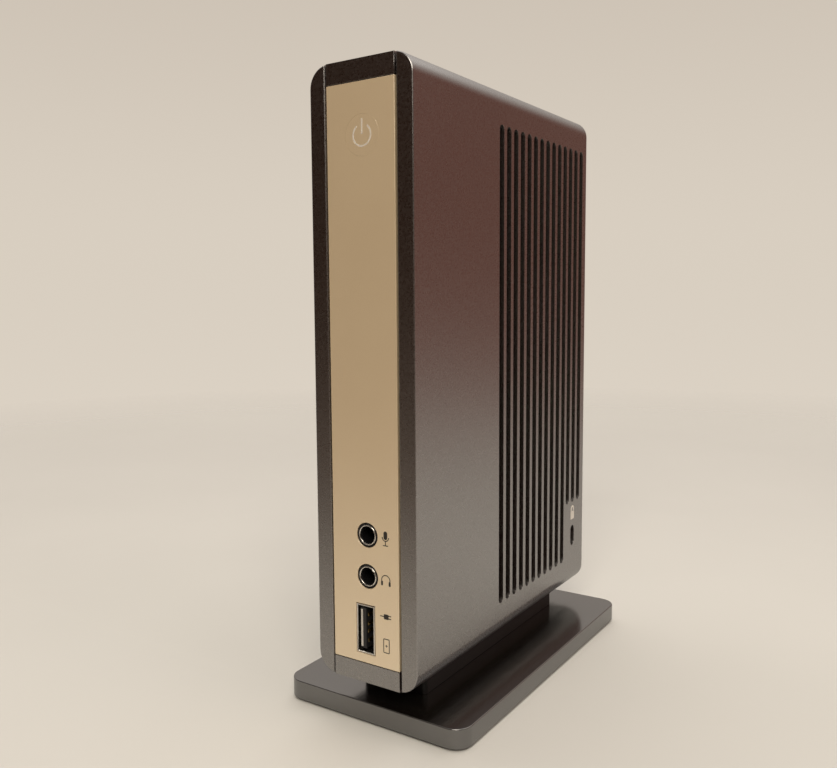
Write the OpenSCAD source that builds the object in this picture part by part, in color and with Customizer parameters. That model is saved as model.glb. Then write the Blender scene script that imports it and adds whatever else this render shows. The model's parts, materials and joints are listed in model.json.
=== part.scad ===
// Laptop docking station: a slim upright dock that slides onto a weighted stand.
// Millimetres. +Z is up, the front faces -Y, the lock slot is on the +X side.
// The origin is on the resting surface, under the middle of the dock.

/* [Body] */
// Width of the body across both side covers
body_w = 31.8; // [30:0.1:40]
// Depth of the body from front to rear
body_d = 109.5; // [100:0.5:135]
// Height of the body without the stand
body_h = 160.4; // [158:0.2:195]
// Radius of the body's four long edges
corner_r = 5.6; // [5:0.1:8]
// Wall thickness of the covers and the centre frame
wall = 2.0; // [1.6:0.1:2.4]
// Width of the centre band between the covers
band_w = 21.4; // [20:0.1:24]
// Gap between the covers and the centre band
seam_gap = 0.45; // [0.2:0.05:0.6]
// Width of the locating lips behind the seams
lip_w = 1.6; // [1:0.1:2]
// Thickness of the locating lips
lip_t = 1.0; // [0.8:0.1:1.2]
// How far the rear panel sits inside the rear edge
rear_recess = 1.5; // [1:0.1:3]
// Thickness of the rear panel
rear_t = 1.6; // [1.2:0.1:2]

/* [Front panel] */
// Thickness of the front panel
panel_t = 1.2; // [1:0.1:1.5]
// Height of the bare band above the panel
panel_top = 5.4; // [4:0.1:8]
// Height of the bare band below the panel
panel_low = 5.3; // [4:0.1:8]
// Height of the front USB port's middle above the body's underside
front_usb_h = 14.6; // [13:0.1:16]
// Distance of the audio jacks to the right of the body's middle
jack_x = 0.7; // [0:0.1:1.5]
// Height of the headphone jack above the body's underside
phones_h = 29.0; // [27:0.1:31]
// Height of the microphone jack above the body's underside
mic_h = 40.0; // [39:0.1:44]
// Distance of the power key to the right of the body's middle
key_x = 0.6; // [0:0.1:1.5]
// Distance of the power key's middle below the body's top
key_drop = 18.7; // [17:0.1:26]
// Diameter of the power key
key_d = 10.2; // [8.5:0.1:12.5]
// Travel of the power key
key_travel = 0.4; // [0.3:0.05:0.6]
// Diameter of the ring in the power symbol
symbol_d = 5.4; // [4:0.1:5.6]
// Width of the symbol's lines
symbol_line = 0.44; // [0.3:0.02:0.6]
// Diameter of the audio jacks' noses
nose_d = 6.2; // [5.6:0.1:7.6]
// Diameter of the audio jacks' bores
jack_d = 3.6; // [3.5:0.05:3.8]
// Depth of the audio jacks' bores
jack_depth = 14; // [13:0.5:15]

/* [Vents] */
// Number of vent slots in each cover
vent_count = 14; // [6:1:14]
// Slots cut short above the lock slot
vent_short = 3; // [0:1:4]
// Distance of the first slot from the front
vent_first = 46.0; // [36:0.5:48]
// Pitch of the slots
vent_pitch = 4.47; // [4:0.01:4.6]
// Width of one slot
vent_w = 2.8; // [2:0.1:3.4]
// Distance of the slots' upper ends from the body's top
vent_top = 10.9; // [10:0.1:20]
// Height of the slots' lower ends above the body's underside
vent_low = 10.6; // [10:0.1:20]
// Height of the short slots' lower ends above the body's underside
vent_low_short = 30.1; // [29:0.1:40]

/* [Lock slot] */
// Width of the security-lock slot
lock_w = 3.0; // [3:0.1:3.4]
// Height of the security-lock slot
lock_h = 7.0; // [7:0.1:7.4]
// Height of the slot's middle above the body's underside
lock_z = 18.3; // [17:0.1:19]

/* [Stand] */
// Width of the stand plate
plate_w = 57.6; // [50:0.1:70]
// Depth of the stand plate
plate_d = 108.4; // [100:0.2:130]
// Thickness of the stand plate
plate_t = 5.4; // [5.2:0.1:7]
// Corner radius of the stand plate
plate_r = 5.0; // [4:0.1:10]
// Height of the gap between the plate and the body
stand_gap = 5.8; // [5.4:0.1:8]
// Thickness of the rubber feet
foot_t = 0.6; // [0.5:0.1:1.5]
// Diameter of the rubber feet
foot_d = 9; // [7:0.5:11]
// Width of the pedestal
pedestal_w = 20.8; // [18:0.2:25]
// Length of the pedestal
pedestal_d = 82; // [74:0.5:86]
// Distance of the pedestal's front from the body's front
pedestal_front = 12.6; // [10:0.1:16]
// Travel that frees the dock from the stand's hooks
dock_travel = 9; // [8:0.5:12]
// Spacing of the two hooks
hook_pitch = 46; // [40:1:50]
// Thickness of the steel weight
weight_t = 1.9; // [1:0.1:2]

/* [Boards] */
// Thickness of the circuit boards
board_t = 1.6; // [1.2:0.1:1.6]
// Gap between the left cover's wall and the main board
board_back = 3.6; // [3:0.1:4]
// Gap between the main board and the front board
board_gap = 4.1; // [4:0.1:5]
// Distance of the main board's ends from the body's top and underside
board_end = 10; // [9.5:0.1:12]
// Distance of the main board's front edge from the body's front
board_front = 17; // [16:0.5:22]
// Width of the front board
front_board_d = 25; // [24:0.5:28]

/* [Fits] */
// Clearance of a port or jack in its cut-out, each side
port_clear = 0.2; // [0.15:0.05:0.4]
// Clearance of the power key in the panel, each side
key_clear = 0.1; // [0.1:0.02:0.25]
// Clearance of a hook in its slot, each side
hook_clear = 0.3; // [0.2:0.05:0.5]
// Clearance of a screw in its hole, each side
screw_clear = 0.1; // [0.05:0.05:0.3]
// Clearance of parts that lie beside each other
part_clear = 0.15; // [0.1:0.05:0.3]

/* [Hidden] */
$fn = 48;

// Colours
dark_shell = [0.27, 0.24, 0.22];
panel_metal = [0.74, 0.68, 0.58];
black_plastic = [0.06, 0.06, 0.06];
steel = [0.70, 0.71, 0.72];
brass = [0.80, 0.66, 0.36];
board_green = [0.05, 0.28, 0.16];
chip_black = [0.10, 0.10, 0.11];
rubber = [0.08, 0.08, 0.08];

// eps joins faces that would only touch, over is how far a cut reaches past a surface,
// and root is how deep a post stands in its wall.
eps = 0.01;
over = 1;
root = 0.3;

// Places of the main surfaces
front_y = -body_d / 2;
rear_y = body_d / 2;
base_z = foot_t + plate_t + stand_gap;
top_z = base_z + body_h;
side_x = body_w / 2;
inner_x = side_x - wall;
seam_in = band_w / 2 - seam_gap / 2;
seam_out = band_w / 2 + seam_gap / 2;
lip_x = seam_out + lip_w;
lip_zone = wall + part_clear + lip_t + lip_w;
panel_z0 = base_z + panel_low;
panel_z1 = top_z - panel_top;
front_inner_y = front_y + panel_t + wall;
rear_outer_y = rear_y - rear_recess;
rear_inner_y = rear_outer_y - rear_t;

// Screws: pan heads, with the core of the thread as the shaft
screw_r = 1.2;
screw_head_r = 2.4;
screw_head_t = 1.4;
cross_len = 1.1;
cross_w = 0.4;
cross_floor = 0.45;
small_screw_r = 1.0;
small_head_r = 1.9;
small_head_t = 1.0;
front_screw_bite = 4;
main_screw_end = 0.8;

// Corner blocks that take the rear screws
block_len = 11;
block_size = 6.8;
lip_end_y = rear_inner_y - block_len - 2;
rear_screw_inset = 5.2;
rear_screw_len = 9;
rear_screw_z0 = base_z + wall + rear_screw_inset;
rear_screw_z1 = top_z - wall - rear_screw_inset;
rear_screw_places = [for (sx = [-1, 1], z = [rear_screw_z0, rear_screw_z1])
    [sx * (inner_x - rear_screw_inset), z]];

// Main board
board_rear_gap = 0.6;
board_x0 = -inner_x + board_back;
board_x1 = board_x0 + board_t;
board_y0 = front_y + board_front;
board_y1 = rear_inner_y - board_rear_gap;
board_z0 = base_z + board_end;
board_z1 = top_z - board_end;
board_post_r = 2.6;
post_floor = 0.4;
post_hole_len = 5;
post_room = 1;
board_hole_in = 4.5;
board_rear_hole_in = 22;
board_hole_places = [for (y = [board_y0 + board_hole_in, board_y1 - board_rear_hole_in],
    z = [board_z0 + board_hole_in, board_z1 - board_hole_in]) [y, z]];

// Front board, and what stands on it
front_x0 = board_x1 + board_gap;
front_x1 = front_x0 + board_t;
front_board_gap = 1;
front_board_y0 = front_inner_y + front_board_gap;
front_board_y1 = front_board_y0 + front_board_d;
key_z = top_z - key_drop;
front_board_low = 6;
front_board_high = 8;
front_board_z0 = base_z + front_board_low;
front_board_z1 = key_z + front_board_high;
front_hole_in = 5;
front_hole_h = 51;
front_hole_drop = 12;
front_hole_y = front_board_y0 + front_hole_in;
front_hole_places = [base_z + front_hole_h, key_z - front_hole_drop];
connector_h = 78;
connector_in = 2;
connector_z = base_z + connector_h;
connector_len = 24;
connector_d = 5;

// Front ports
front_usb_z = base_z + front_usb_h;
phones_z = base_z + phones_h;
mic_z = base_z + mic_h;
usb_w = 13.1;
usb_t = 5.72;
usb_wall = 0.35;
usb_len = 14;
usb_mid_x = front_x1 + usb_t / 2;
jack_body_w = 8.4;
jack_body_len = 11.4;
jack_half = jack_x - front_x1;
jack_body_y = front_inner_y + 0.2;
usb_core_y = 10;
tongue_in = 0.6;
tongue_low = 2.04;
tongue_high = 0.2;
tongue_half_w = 5.55;

// Power key, its symbol, and the switch behind it
key_flange_d = key_d + 1.6;
symbol_gap = 0.72;
symbol_bar_low = 0.04;
symbol_bar_len = 0.7;
key_flange_t = 0.8;
key_flange_clear = 0.3;
key_gap = 0.05;
key_stem_r = 1.6;
plunger_r = 1.1;
plunger_len = 2.2;
switch_w = 6;
switch_t = 3.4;
switch_h = 5.2;
switch_room = 0.6;
switch_back = 0.9;
lamp_rise = 3.9;
lamp_size = [1.5, 1.6, 3];
key_back_y = front_y + panel_t + key_gap + key_flange_t;
key_stem_len = 2.4;
plunger_y0 = key_back_y + key_stem_len;
switch_y0 = plunger_y0 + switch_back;

// Lock slot
lock_y = front_y + vent_first + (vent_count - 2) * vent_pitch;
lock_mid_z = base_z + lock_z;
lock_plate_t = 1.5;
lock_plate_w = 12;
lock_plate_h = 17;
lock_plate_z = lock_mid_z + 2.5;
lock_plate_x = inner_x - lock_plate_t;
stake_r = 1.0;
stake_head_t = 0.7;
stake_head_r = 1.7;
stake_above = 3.4;
stake_step = 6.4;
stake_z = lock_mid_z + lock_h / 2 + stake_above;

// Stand
plate_z0 = foot_t;
plate_z1 = foot_t + plate_t;
plate_wall = 2;
bottom_cover_t = 1.4;
cover_step = 0.8;
boss_r = 3.2;
boss_in = 8;
foot_step = 12;
stand_boss_places = [for (sx = [-1, 1], sy = [-1, 1])
    [sx * (plate_w / 2 - boss_in), sy * (plate_d / 2 - boss_in)]];
foot_places = [for (sx = [-1, 1], sy = [-1, 1])
    [sx * (plate_w / 2 - boss_in), sy * (plate_d / 2 - boss_in - foot_step)]];
foot_sink = 0.3;
cover_head_seat = 0.8;
cover_screw_len = 2.6;
cover_head_t = 0.7;
weight_head_room = 0.6;
pedestal_r = 1.5;
pedestal_y0 = front_y + pedestal_front;
pedestal_y = pedestal_y0 + pedestal_d / 2;
pedestal_gap = 0.1;
pedestal_z1 = base_z - pedestal_gap;
pedestal_screw_step = 28;
pedestal_top_t = 1.2;
pedestal_screw_len = plate_wall + pedestal_z1 - plate_z1 - 2;
hook_neck_w = 4;
hook_len = 5;
hook_head_w = 8;
hook_head_t = 1.6;
hook_lift = 0.25;
hook_half_len = hook_len / 2 + hook_clear;
hook_way_end = hook_half_len + dock_travel;
hook_way_top = base_z + wall + part_clear + 2 * over;
hook_places = [pedestal_y - hook_pitch / 2, pedestal_y + hook_pitch / 2];

// Rear ports, from the bottom up: length along the board, and height off it
port_len = [9, 12.2, 14.5, 14.5, 16, 15.4, 31];
port_room = board_z1 - board_z0;
function total(list, i = 0) = i == len(list) ? 0 : list[i] + total(list, i + 1);
port_space = (port_room - total(port_len)) / (len(port_len) + 1);
function port_start(i) = i == 0 ? board_z0 + port_space : port_start(i - 1) + port_len[i - 1] + port_space;
function port_z(i) = port_start(i) + port_len[i] / 2;
port_proud = 0.5;
port_face_y = rear_outer_y + port_proud;
inlet_z = port_z(0);
usb_b_z = port_z(1);
stack_low_z = port_z(2);
stack_high_z = port_z(3);
network_z = port_z(4);
hdmi_z = port_z(5);
vga_z = port_z(6);
inlet_h = 11;
inlet_len = 13;
inlet_bore_r = 3.2;
inlet_x = 6.2;
inlet_depth = 10;
inlet_pin_in = 1;
inlet_pin_r = 1.05;
usb_b_h = 11;
usb_b_len = 16;
usb_b_w = 8.5;
usb_b_t = 7.8;
usb_b_cut = 1.8;
usb_b_floor = 2;
usb_b_back = 3;
usb_b_post = [3.2, 10.1, 5.6];
stack_h = 15.6;
stack_len = 17;
stack_slot_w = 12.5;
stack_slot_t = 5.12;
stack_pitch = 7.6;
stack_first = 4.1;
stack_core_t = 4;
stack_xs = [board_x1 + stack_first, board_x1 + stack_first + stack_pitch];
stack_back_y = port_face_y - stack_len + 1;
post_joint = 0.1;
tongue_recess = 1.2;
network_h = 13.5;
network_len = 18;
network_w = 11.7;
network_t = 6.8;
network_depth = 13;
network_low = 4.6;
latch_low = 3;
latch_w = 6;
latch_lap = 0.4;
latch_tip_low = 1.6;
latch_tip_w = 3.2;
lamp_low = 0.8;
lamp_t = 2.1;
lamp_w = 3.2;
lamp_side = 5.3;
lamp_depth = 5;
lamp_recess = 0.1;
contact_count = 8;
contact_pitch = 1.02;
contact_w = 0.4;
contact_reach = 1.3;
contact_in = 3;
hdmi_h = 6.2;
hdmi_len = 11.5;
hdmi_w = 14;
hdmi_t = 4.55;
hdmi_cut = 1.6;
hdmi_core_t = 2.4;
hdmi_tongue_t = 1.8;
hdmi_tongue_w = 11.2;
hdmi_x = board_x1 + hdmi_h / 2;
hdmi_back_y = port_face_y - hdmi_len + 1;
vga_h = 12.6;
vga_len = 11;
vga_flange = 1;
vga_screw_step = 25;
vga_shroud_w = 16.9;
vga_shroud_t = 8.3;
vga_nut_r = 2.4;
vga_thread_r = 1.1;
vga_x = board_x1 + vga_h / 2;
vga_screw_zs = [vga_z - vga_screw_step / 2, vga_z + vga_screw_step / 2];
vga_body_end = 1.7;
vga_shroud_wall = 0.4;
vga_mouth_depth = 0.2;
vga_slant = 1.4;
vga_row_step = 1.98;
vga_hole_step = 2.29;
vga_hole_shift = 0.57;
vga_hole_r = 0.55;
vga_hole_depth = 5;
vga_stud_r = 1.4;
vga_stud_len = 5;
vga_stud_clear = 0.05;
vga_nut_proud = 0.6;
vga_thread_depth = 2;

// Components on the main board: places in Y and Z, and sizes along Y, along Z and off the board
chip_y = board_y0 + 36;
chip_z = board_z0 + 0.62 * port_room;
chip_w = 19;
chip_h = 1.6;
pad_h = 0.5;
sink_w = 26;
sink_base = 2;
sink_h = 10;
sink_fins = 7;
fin_t = 1.2;
small_chip_h = 1;
hub_w = 9;
hub_place = [board_y1 - 24, (stack_low_z + stack_high_z) / 2 - 2];
network_chip_w = 10;
network_chip_place = [board_y0 + 38, network_z - 4];
memory_y = board_y0 + 16.4;
memory_step = 8;
memory_size = [8, 12, 1.1];
transformer_place = [board_y1 - 26, network_z + 3];
transformer_size = [9, 14, 5.4];
can_count = 5;
can_y = board_y1 - 21;
can_z = board_z0 + 12;
can_step = 5.6;
can_row_step = 8.4;
can_h = 7.7;
can_r = 3.15;
coil_count = 3;
coil_y = board_y0 + 30;
coil_z = board_z0 + 13;
coil_step = 10;
coil_w = 7;
coil_h = 4;
crystal_size = [3.2, 5, 1.2];
crystal_places = [
    [board_y0 + 24, chip_z - 22],
    [board_y0 + 46, network_z - 14],
    [board_y0 + 40, board_z0 + 34],
];

// ---------------------------------------------------------------- helpers

// Extrudes an outline drawn in X and Z from y0 towards +Y.
module along_y(y0, len)
    translate([0, y0 + len, 0])
        rotate([90, 0, 0])
            linear_extrude(height = len)
                children();

// Extrudes an outline drawn in Y and Z from x0 towards +X.
module along_x(x0, len)
    translate([x0, 0, 0])
        rotate([90, 0, 90])
            linear_extrude(height = len)
                children();

// A rectangle with round corners, centred.
module round_rect(w, h, r) {
    square([w - 2 * r, h], center = true);
    square([w, h - 2 * r], center = true);
    for (sx = [-1, 1], sy = [-1, 1])
        translate([sx * (w / 2 - r), sy * (h / 2 - r)])
            circle(r);
}

// A slot with round ends, standing upright, from z0 to z1.
module slot_2d(w, z0, z1) {
    translate([-w / 2, z0 + w / 2])
        square([w, z1 - z0 - w]);
    for (z = [z0 + w / 2, z1 - w / 2])
        translate([0, z])
            circle(w / 2);
}

// The body's outline seen from the front, drawn inwards by a distance.
module body_outline(inset)
    translate([0, base_z + body_h / 2])
        round_rect(body_w - 2 * inset, body_h - 2 * inset, corner_r - inset);

// A box given by its low and high corners.
module span_box(low, high)
    translate(low)
        cube(high - low);

// A cylinder along Y from y0, at a place in X and Z.
module rod_y(x, z, y0, len, r)
    translate([x, y0, z])
        rotate([-90, 0, 0])
            cylinder(h = len, r = r);

// A cylinder along X from x0, at a place in Y and Z.
module rod_x(y, z, x0, len, r)
    translate([x0, y, z])
        rotate([0, 90, 0])
            cylinder(h = len, r = r);

// A pan-head screw with a cross recess: the head's seat is at z = 0, and the shaft runs to -Z.
module pan_screw(shaft_r, len, head_r, head_t) {
    difference() {
        cylinder(h = head_t, r = head_r);
        for (a = [0, 90])
            rotate([0, 0, a])
                translate([-head_r * cross_len / 2, -head_t * cross_w / 2, head_t * cross_floor])
                    cube([head_r * cross_len, head_t * cross_w, head_t]);
    }
    translate([0, 0, -len])
        cylinder(h = len + eps, r = shaft_r);
}

// ---------------------------------------------------------------- stand

module plate_outline(inset)
    round_rect(plate_w - 2 * inset, plate_d - 2 * inset, plate_r - inset);

module stand_base()
    color(dark_shell) {
        difference() {
            translate([0, 0, plate_z0])
                linear_extrude(height = plate_t)
                    plate_outline(0);
            translate([0, 0, plate_z0 - eps])
                linear_extrude(height = plate_t - plate_wall + eps)
                    plate_outline(plate_wall);
            translate([0, 0, plate_z0 - eps])
                linear_extrude(height = bottom_cover_t + eps)
                    plate_outline(cover_step);
            for (sy = [-1, 1])
                translate([0, pedestal_y + sy * pedestal_screw_step, plate_z0])
                    cylinder(h = plate_t + over, r = screw_r + screw_clear);
        }
        for (p = stand_boss_places)
            difference() {
                translate([p[0], p[1], plate_z0 + bottom_cover_t])
                    cylinder(h = plate_t - plate_wall - bottom_cover_t + eps, r = boss_r);
                translate([p[0], p[1], plate_z0])
                    cylinder(h = plate_t - plate_wall, r = small_screw_r + screw_clear);
            }
    }

// Steel plate that keeps the narrow dock upright. It clears the bosses and the screw heads.
module stand_weight()
    color(steel)
        difference() {
            translate([0, 0, plate_z0 + bottom_cover_t])
                linear_extrude(height = weight_t)
                    plate_outline(plate_wall + part_clear);
            for (p = stand_boss_places)
                translate([p[0], p[1], plate_z0])
                    cylinder(h = plate_t, r = boss_r + part_clear);
            for (sy = [-1, 1])
                translate([0, pedestal_y + sy * pedestal_screw_step, plate_z0])
                    cylinder(h = plate_t, r = screw_head_r + weight_head_room);
        }

module stand_bottom_cover()
    color(black_plastic)
        difference() {
            translate([0, 0, plate_z0])
                linear_extrude(height = bottom_cover_t)
                    plate_outline(cover_step + part_clear);
            for (p = stand_boss_places)
                translate([p[0], p[1], plate_z0 - eps]) {
                    cylinder(h = bottom_cover_t + over, r = small_screw_r + screw_clear);
                    cylinder(h = cover_head_seat, r = small_head_r + screw_clear);
                }
            for (p = foot_places)
                translate([p[0], p[1], plate_z0 - eps])
                    cylinder(h = foot_sink + eps, r = foot_d / 2 + part_clear);
        }

module stand_cover_screws()
    color(steel)
        for (p = stand_boss_places)
            translate([p[0], p[1], plate_z0 + cover_head_seat - eps])
                rotate([180, 0, 0])
                    pan_screw(small_screw_r, cover_screw_len, small_head_r, cover_head_t);

module stand_feet()
    color(rubber)
        for (p = foot_places)
            translate([p[0], p[1], 0])
                cylinder(h = foot_t + foot_sink - eps, r = foot_d / 2);

module stand_pedestal()
    color(black_plastic) {
        difference() {
            translate([0, pedestal_y, plate_z1])
                linear_extrude(height = pedestal_z1 - plate_z1)
                    round_rect(pedestal_w, pedestal_d, pedestal_r);
            for (sy = [-1, 1])
                translate([0, pedestal_y + sy * pedestal_screw_step, plate_z1 - eps])
                    cylinder(h = pedestal_z1 - plate_z1 - pedestal_top_t, r = screw_r + screw_clear);
        }
        for (y = hook_places) {
            span_box([-hook_neck_w / 2, y - hook_len / 2, pedestal_z1 - eps],
                [hook_neck_w / 2, y + hook_len / 2, base_z + wall + hook_lift + eps]);
            span_box([-hook_head_w / 2, y - hook_len / 2, base_z + wall + hook_lift],
                [hook_head_w / 2, y + hook_len / 2, base_z + wall + hook_lift + hook_head_t]);
        }
    }

module pedestal_screws()
    color(steel)
        for (sy = [-1, 1])
            translate([0, pedestal_y + sy * pedestal_screw_step, plate_z1 - plate_wall])
                rotate([180, 0, 0])
                    pan_screw(screw_r, pedestal_screw_len, screw_head_r, screw_head_t);

// ---------------------------------------------------------------- case

// One wrapped side with its strip of the front, drawn on the +X side.
module cover_blank()
    difference() {
        along_y(front_y, body_d)
            intersection() {
                body_outline(0);
                translate([seam_out, base_z])
                    square([side_x - seam_out, body_h]);
            }
        along_y(front_y + wall, body_d)
            body_outline(wall);
    }

// Solid corners behind the rear panel that take its screws.
module corner_blocks()
    for (top = [false, true])
        difference() {
            along_y(rear_inner_y - block_len, block_len)
                intersection() {
                    union() {
                        body_outline(wall + part_clear);
                        intersection() {
                            body_outline(wall - root);
                            translate([seam_out, base_z])
                                square([side_x, body_h]);
                        }
                    }
                    translate([inner_x - block_size, top ? top_z - wall - block_size : base_z])
                        square([block_size + wall, block_size + wall]);
                }
            rod_y(inner_x - rear_screw_inset, top ? rear_screw_z1 : rear_screw_z0,
                rear_inner_y - rear_screw_len - over / 2, rear_screw_len + over, screw_r + screw_clear);
        }

// Height of a slot's lower end above the body's underside: the last slots stop above the lock slot.
function vent_end(i) = i < vent_count - vent_short ? vent_low : vent_low_short;

module vent_slots()
    for (i = [0:vent_count - 1])
        along_x(side_x - wall - over, wall + 2 * over)
            translate([front_y + vent_first + i * vent_pitch, 0])
                slot_2d(vent_w, base_z + vent_end(i), top_z - vent_top);

module lock_cut(x0, len)
    along_x(x0, len)
        translate([lock_y, 0])
            slot_2d(lock_w, lock_mid_z - lock_h / 2, lock_mid_z + lock_h / 2);

// Posts on the left wall that carry the two boards.
module board_posts() {
    for (p = board_hole_places)
        difference() {
            rod_x(p[0], p[1], -inner_x - root, board_back + root, board_post_r);
            rod_x(p[0], p[1], -inner_x + post_floor, board_back, small_screw_r + screw_clear);
        }
    for (z = front_hole_places)
        difference() {
            rod_x(front_hole_y, z, -inner_x - root, front_x0 + inner_x + root, board_post_r);
            rod_x(front_hole_y, z, front_x0 - post_hole_len, post_hole_len + eps,
                small_screw_r + screw_clear);
        }
}

module left_cover()
    color(dark_shell)
        union() {
            mirror([1, 0, 0]) {
                difference() {
                    cover_blank();
                    vent_slots();
                }
                corner_blocks();
            }
            board_posts();
        }

module right_cover()
    color(dark_shell)
        union() {
            difference() {
                cover_blank();
                vent_slots();
                lock_cut(side_x - wall - over, wall + 2 * over);
            }
            corner_blocks();
            for (s = [-1, 1]) {
                rod_x(lock_y + s * stake_step / 2, stake_z, lock_plate_x - eps, lock_plate_t + root, stake_r);
                rod_x(lock_y + s * stake_step / 2, stake_z, lock_plate_x - stake_head_t, stake_head_t,
                    stake_head_r);
            }
        }

// Front bezel with the upper and lower bands and the lips that locate the covers.
module centre_frame()
    color(dark_shell)
        difference() {
            union() {
                along_y(front_y, body_d)
                    intersection() {
                        difference() {
                            body_outline(0);
                            body_outline(wall);
                        }
                        translate([-seam_in, base_z])
                            square([2 * seam_in, body_h]);
                    }
                along_y(front_y, panel_t + wall)
                    intersection() {
                        body_outline(0);
                        translate([-seam_in, base_z])
                            square([2 * seam_in, body_h]);
                    }
                along_y(front_y + wall, lip_t + part_clear)
                    intersection() {
                        body_outline(wall + part_clear);
                        translate([-lip_x, base_z])
                            square([2 * lip_x, body_h]);
                    }
                for (z = [base_z, top_z - lip_zone])
                    along_y(front_y + wall + part_clear, lip_end_y - front_y - wall)
                        intersection() {
                            difference() {
                                body_outline(wall + part_clear);
                                body_outline(wall + part_clear + lip_t);
                            }
                            translate([-lip_x, z])
                                square([2 * lip_x, lip_zone]);
                        }
                for (z = [base_z + wall - eps, top_z - wall - part_clear - eps])
                    span_box([-seam_in + over, front_y + wall + part_clear, z],
                        [seam_in - over, lip_end_y, z + part_clear + 2 * eps]);
            }
            span_box([-side_x, front_y - over, panel_z0], [side_x, front_y + panel_t, panel_z1]);
            front_port_cuts(panel_t + wall);
            rod_y(key_x, key_z, front_y - over, panel_t + wall + 2 * over,
                key_flange_d / 2 + key_flange_clear);
            for (y = hook_places)
                hook_way(y);
        }

// Keyhole in the lower band: narrow over the hook's neck, wide where the hook's head comes free.
module hook_way(y) {
    span_box([-hook_neck_w / 2 - hook_clear, y - hook_half_len, base_z - over],
        [hook_neck_w / 2 + hook_clear, y + hook_way_end, hook_way_top]);
    span_box([-hook_head_w / 2 - hook_clear, y + dock_travel - hook_len / 2 - hook_clear, base_z - over],
        [hook_head_w / 2 + hook_clear, y + hook_way_end, hook_way_top]);
    span_box([-hook_head_w / 2 - hook_clear, y - hook_half_len, base_z + wall],
        [hook_head_w / 2 + hook_clear, y + hook_way_end, hook_way_top]);
}

// Holes for the jacks and the USB port, through material of a depth behind the front.
module front_port_cuts(depth) {
    for (z = [mic_z, phones_z])
        rod_y(jack_x, z, front_y - over, depth + 2 * over, nose_d / 2 + port_clear);
    span_box([front_x1 - port_clear, front_y - over, front_usb_z - usb_w / 2 - port_clear],
        [front_x1 + usb_t + port_clear, front_y + depth + over, front_usb_z + usb_w / 2 + port_clear]);
}

module front_panel()
    color(panel_metal)
        difference() {
            span_box([-seam_in, front_y, panel_z0 + part_clear],
                [seam_in, front_y + panel_t, panel_z1 - part_clear]);
            front_port_cuts(panel_t);
            rod_y(key_x, key_z, front_y - over, panel_t + 2 * over, key_d / 2 + key_clear);
        }

module rear_panel()
    color(black_plastic)
        difference() {
            along_y(rear_inner_y, rear_t)
                body_outline(wall + part_clear);
            for (p = rear_screw_places)
                rod_y(p[0], p[1], rear_inner_y - over, rear_t + 2 * over, screw_r + screw_clear);
            rear_cut(inlet_z, port_len[0], inlet_h);
            rear_cut(usb_b_z, port_len[1], usb_b_h);
            rear_cut(stack_low_z, port_len[2], stack_h);
            rear_cut(stack_high_z, port_len[3], stack_h);
            rear_cut(network_z, port_len[4], network_h);
            rear_cut(hdmi_z, port_len[5], hdmi_h);
            along_y(rear_inner_y - over, rear_t + 2 * over)
                translate([vga_x, vga_z])
                    d_outline(vga_shroud_t + 2 * port_clear, vga_shroud_w + 2 * port_clear);
            for (z = vga_screw_zs)
                rod_y(vga_x, z, rear_inner_y - over, rear_t + 2 * over, vga_nut_r + port_clear);
        }

module rear_cut(z, len, h)
    span_box([board_x1 - port_clear, rear_inner_y - over, z - len / 2 - port_clear],
        [board_x1 + h + port_clear, rear_outer_y + over, z + len / 2 + port_clear]);

module rear_screws()
    color(steel)
        for (p = rear_screw_places)
            translate([p[0], rear_outer_y, p[1]])
                rotate([-90, 0, 0])
                    pan_screw(screw_r, rear_t + rear_screw_len - over, screw_head_r, screw_head_t);

// Steel plate behind the plastic wall, so that a lock's T-bar can't tear it. Two pegs of the cover hold it.
module lock_plate()
    color(steel)
        difference() {
            span_box([lock_plate_x, lock_y - lock_plate_w / 2, lock_plate_z - lock_plate_h / 2],
                [inner_x, lock_y + lock_plate_w / 2, lock_plate_z + lock_plate_h / 2]);
            lock_cut(lock_plate_x - over, lock_plate_t + 2 * over);
            for (s = [-1, 1])
                rod_x(lock_y + s * stake_step / 2, stake_z, lock_plate_x - over, lock_plate_t + 2 * over,
                    stake_r + screw_clear);
        }

// ---------------------------------------------------------------- power key

// The power symbol: a ring open at the top with an upright bar through the opening.
module symbol_2d() {
    difference() {
        circle(symbol_d / 2 + symbol_line / 2);
        circle(symbol_d / 2 - symbol_line / 2);
        polygon([[0, 0], [-symbol_d * symbol_gap, symbol_d], [symbol_d * symbol_gap, symbol_d]]);
    }
    translate([-symbol_line / 2, symbol_d * symbol_bar_low])
        square([symbol_line, symbol_d * symbol_bar_len]);
}

module power_key()
    color(panel_metal)
        difference() {
            union() {
                rod_y(key_x, key_z, front_y, panel_t + key_gap + eps, key_d / 2);
                rod_y(key_x, key_z, front_y + panel_t + key_gap, key_flange_t, key_flange_d / 2);
                rod_y(key_x, key_z, key_back_y - eps, key_stem_len + eps, key_stem_r);
            }
            along_y(front_y - over, over + panel_t + key_gap)
                translate([key_x, key_z])
                    symbol_2d();
        }

// Translucent insert that fills the symbol and lets the lamp's light through.
module power_symbol()
    color([0.92, 0.92, 0.88, 0.8])
        along_y(front_y, panel_t + key_gap)
            translate([key_x, key_z])
                symbol_2d();

module switch_plunger()
    color(black_plastic)
        rod_y(key_x, key_z, plunger_y0, plunger_len, plunger_r);

module switch_housing()
    color(chip_black)
        difference() {
            span_box([front_x1, switch_y0, key_z - switch_w / 2],
                [front_x1 + switch_h, switch_y0 + switch_t, key_z + switch_w / 2]);
            rod_y(key_x, key_z, switch_y0 - over, plunger_len + key_travel + switch_room,
                plunger_r + screw_clear);
        }

module power_lamp()
    color([0.9, 0.9, 0.8])
        translate([front_x1, front_board_y0, key_z + lamp_rise])
            cube(lamp_size);

// ---------------------------------------------------------------- front board

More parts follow.
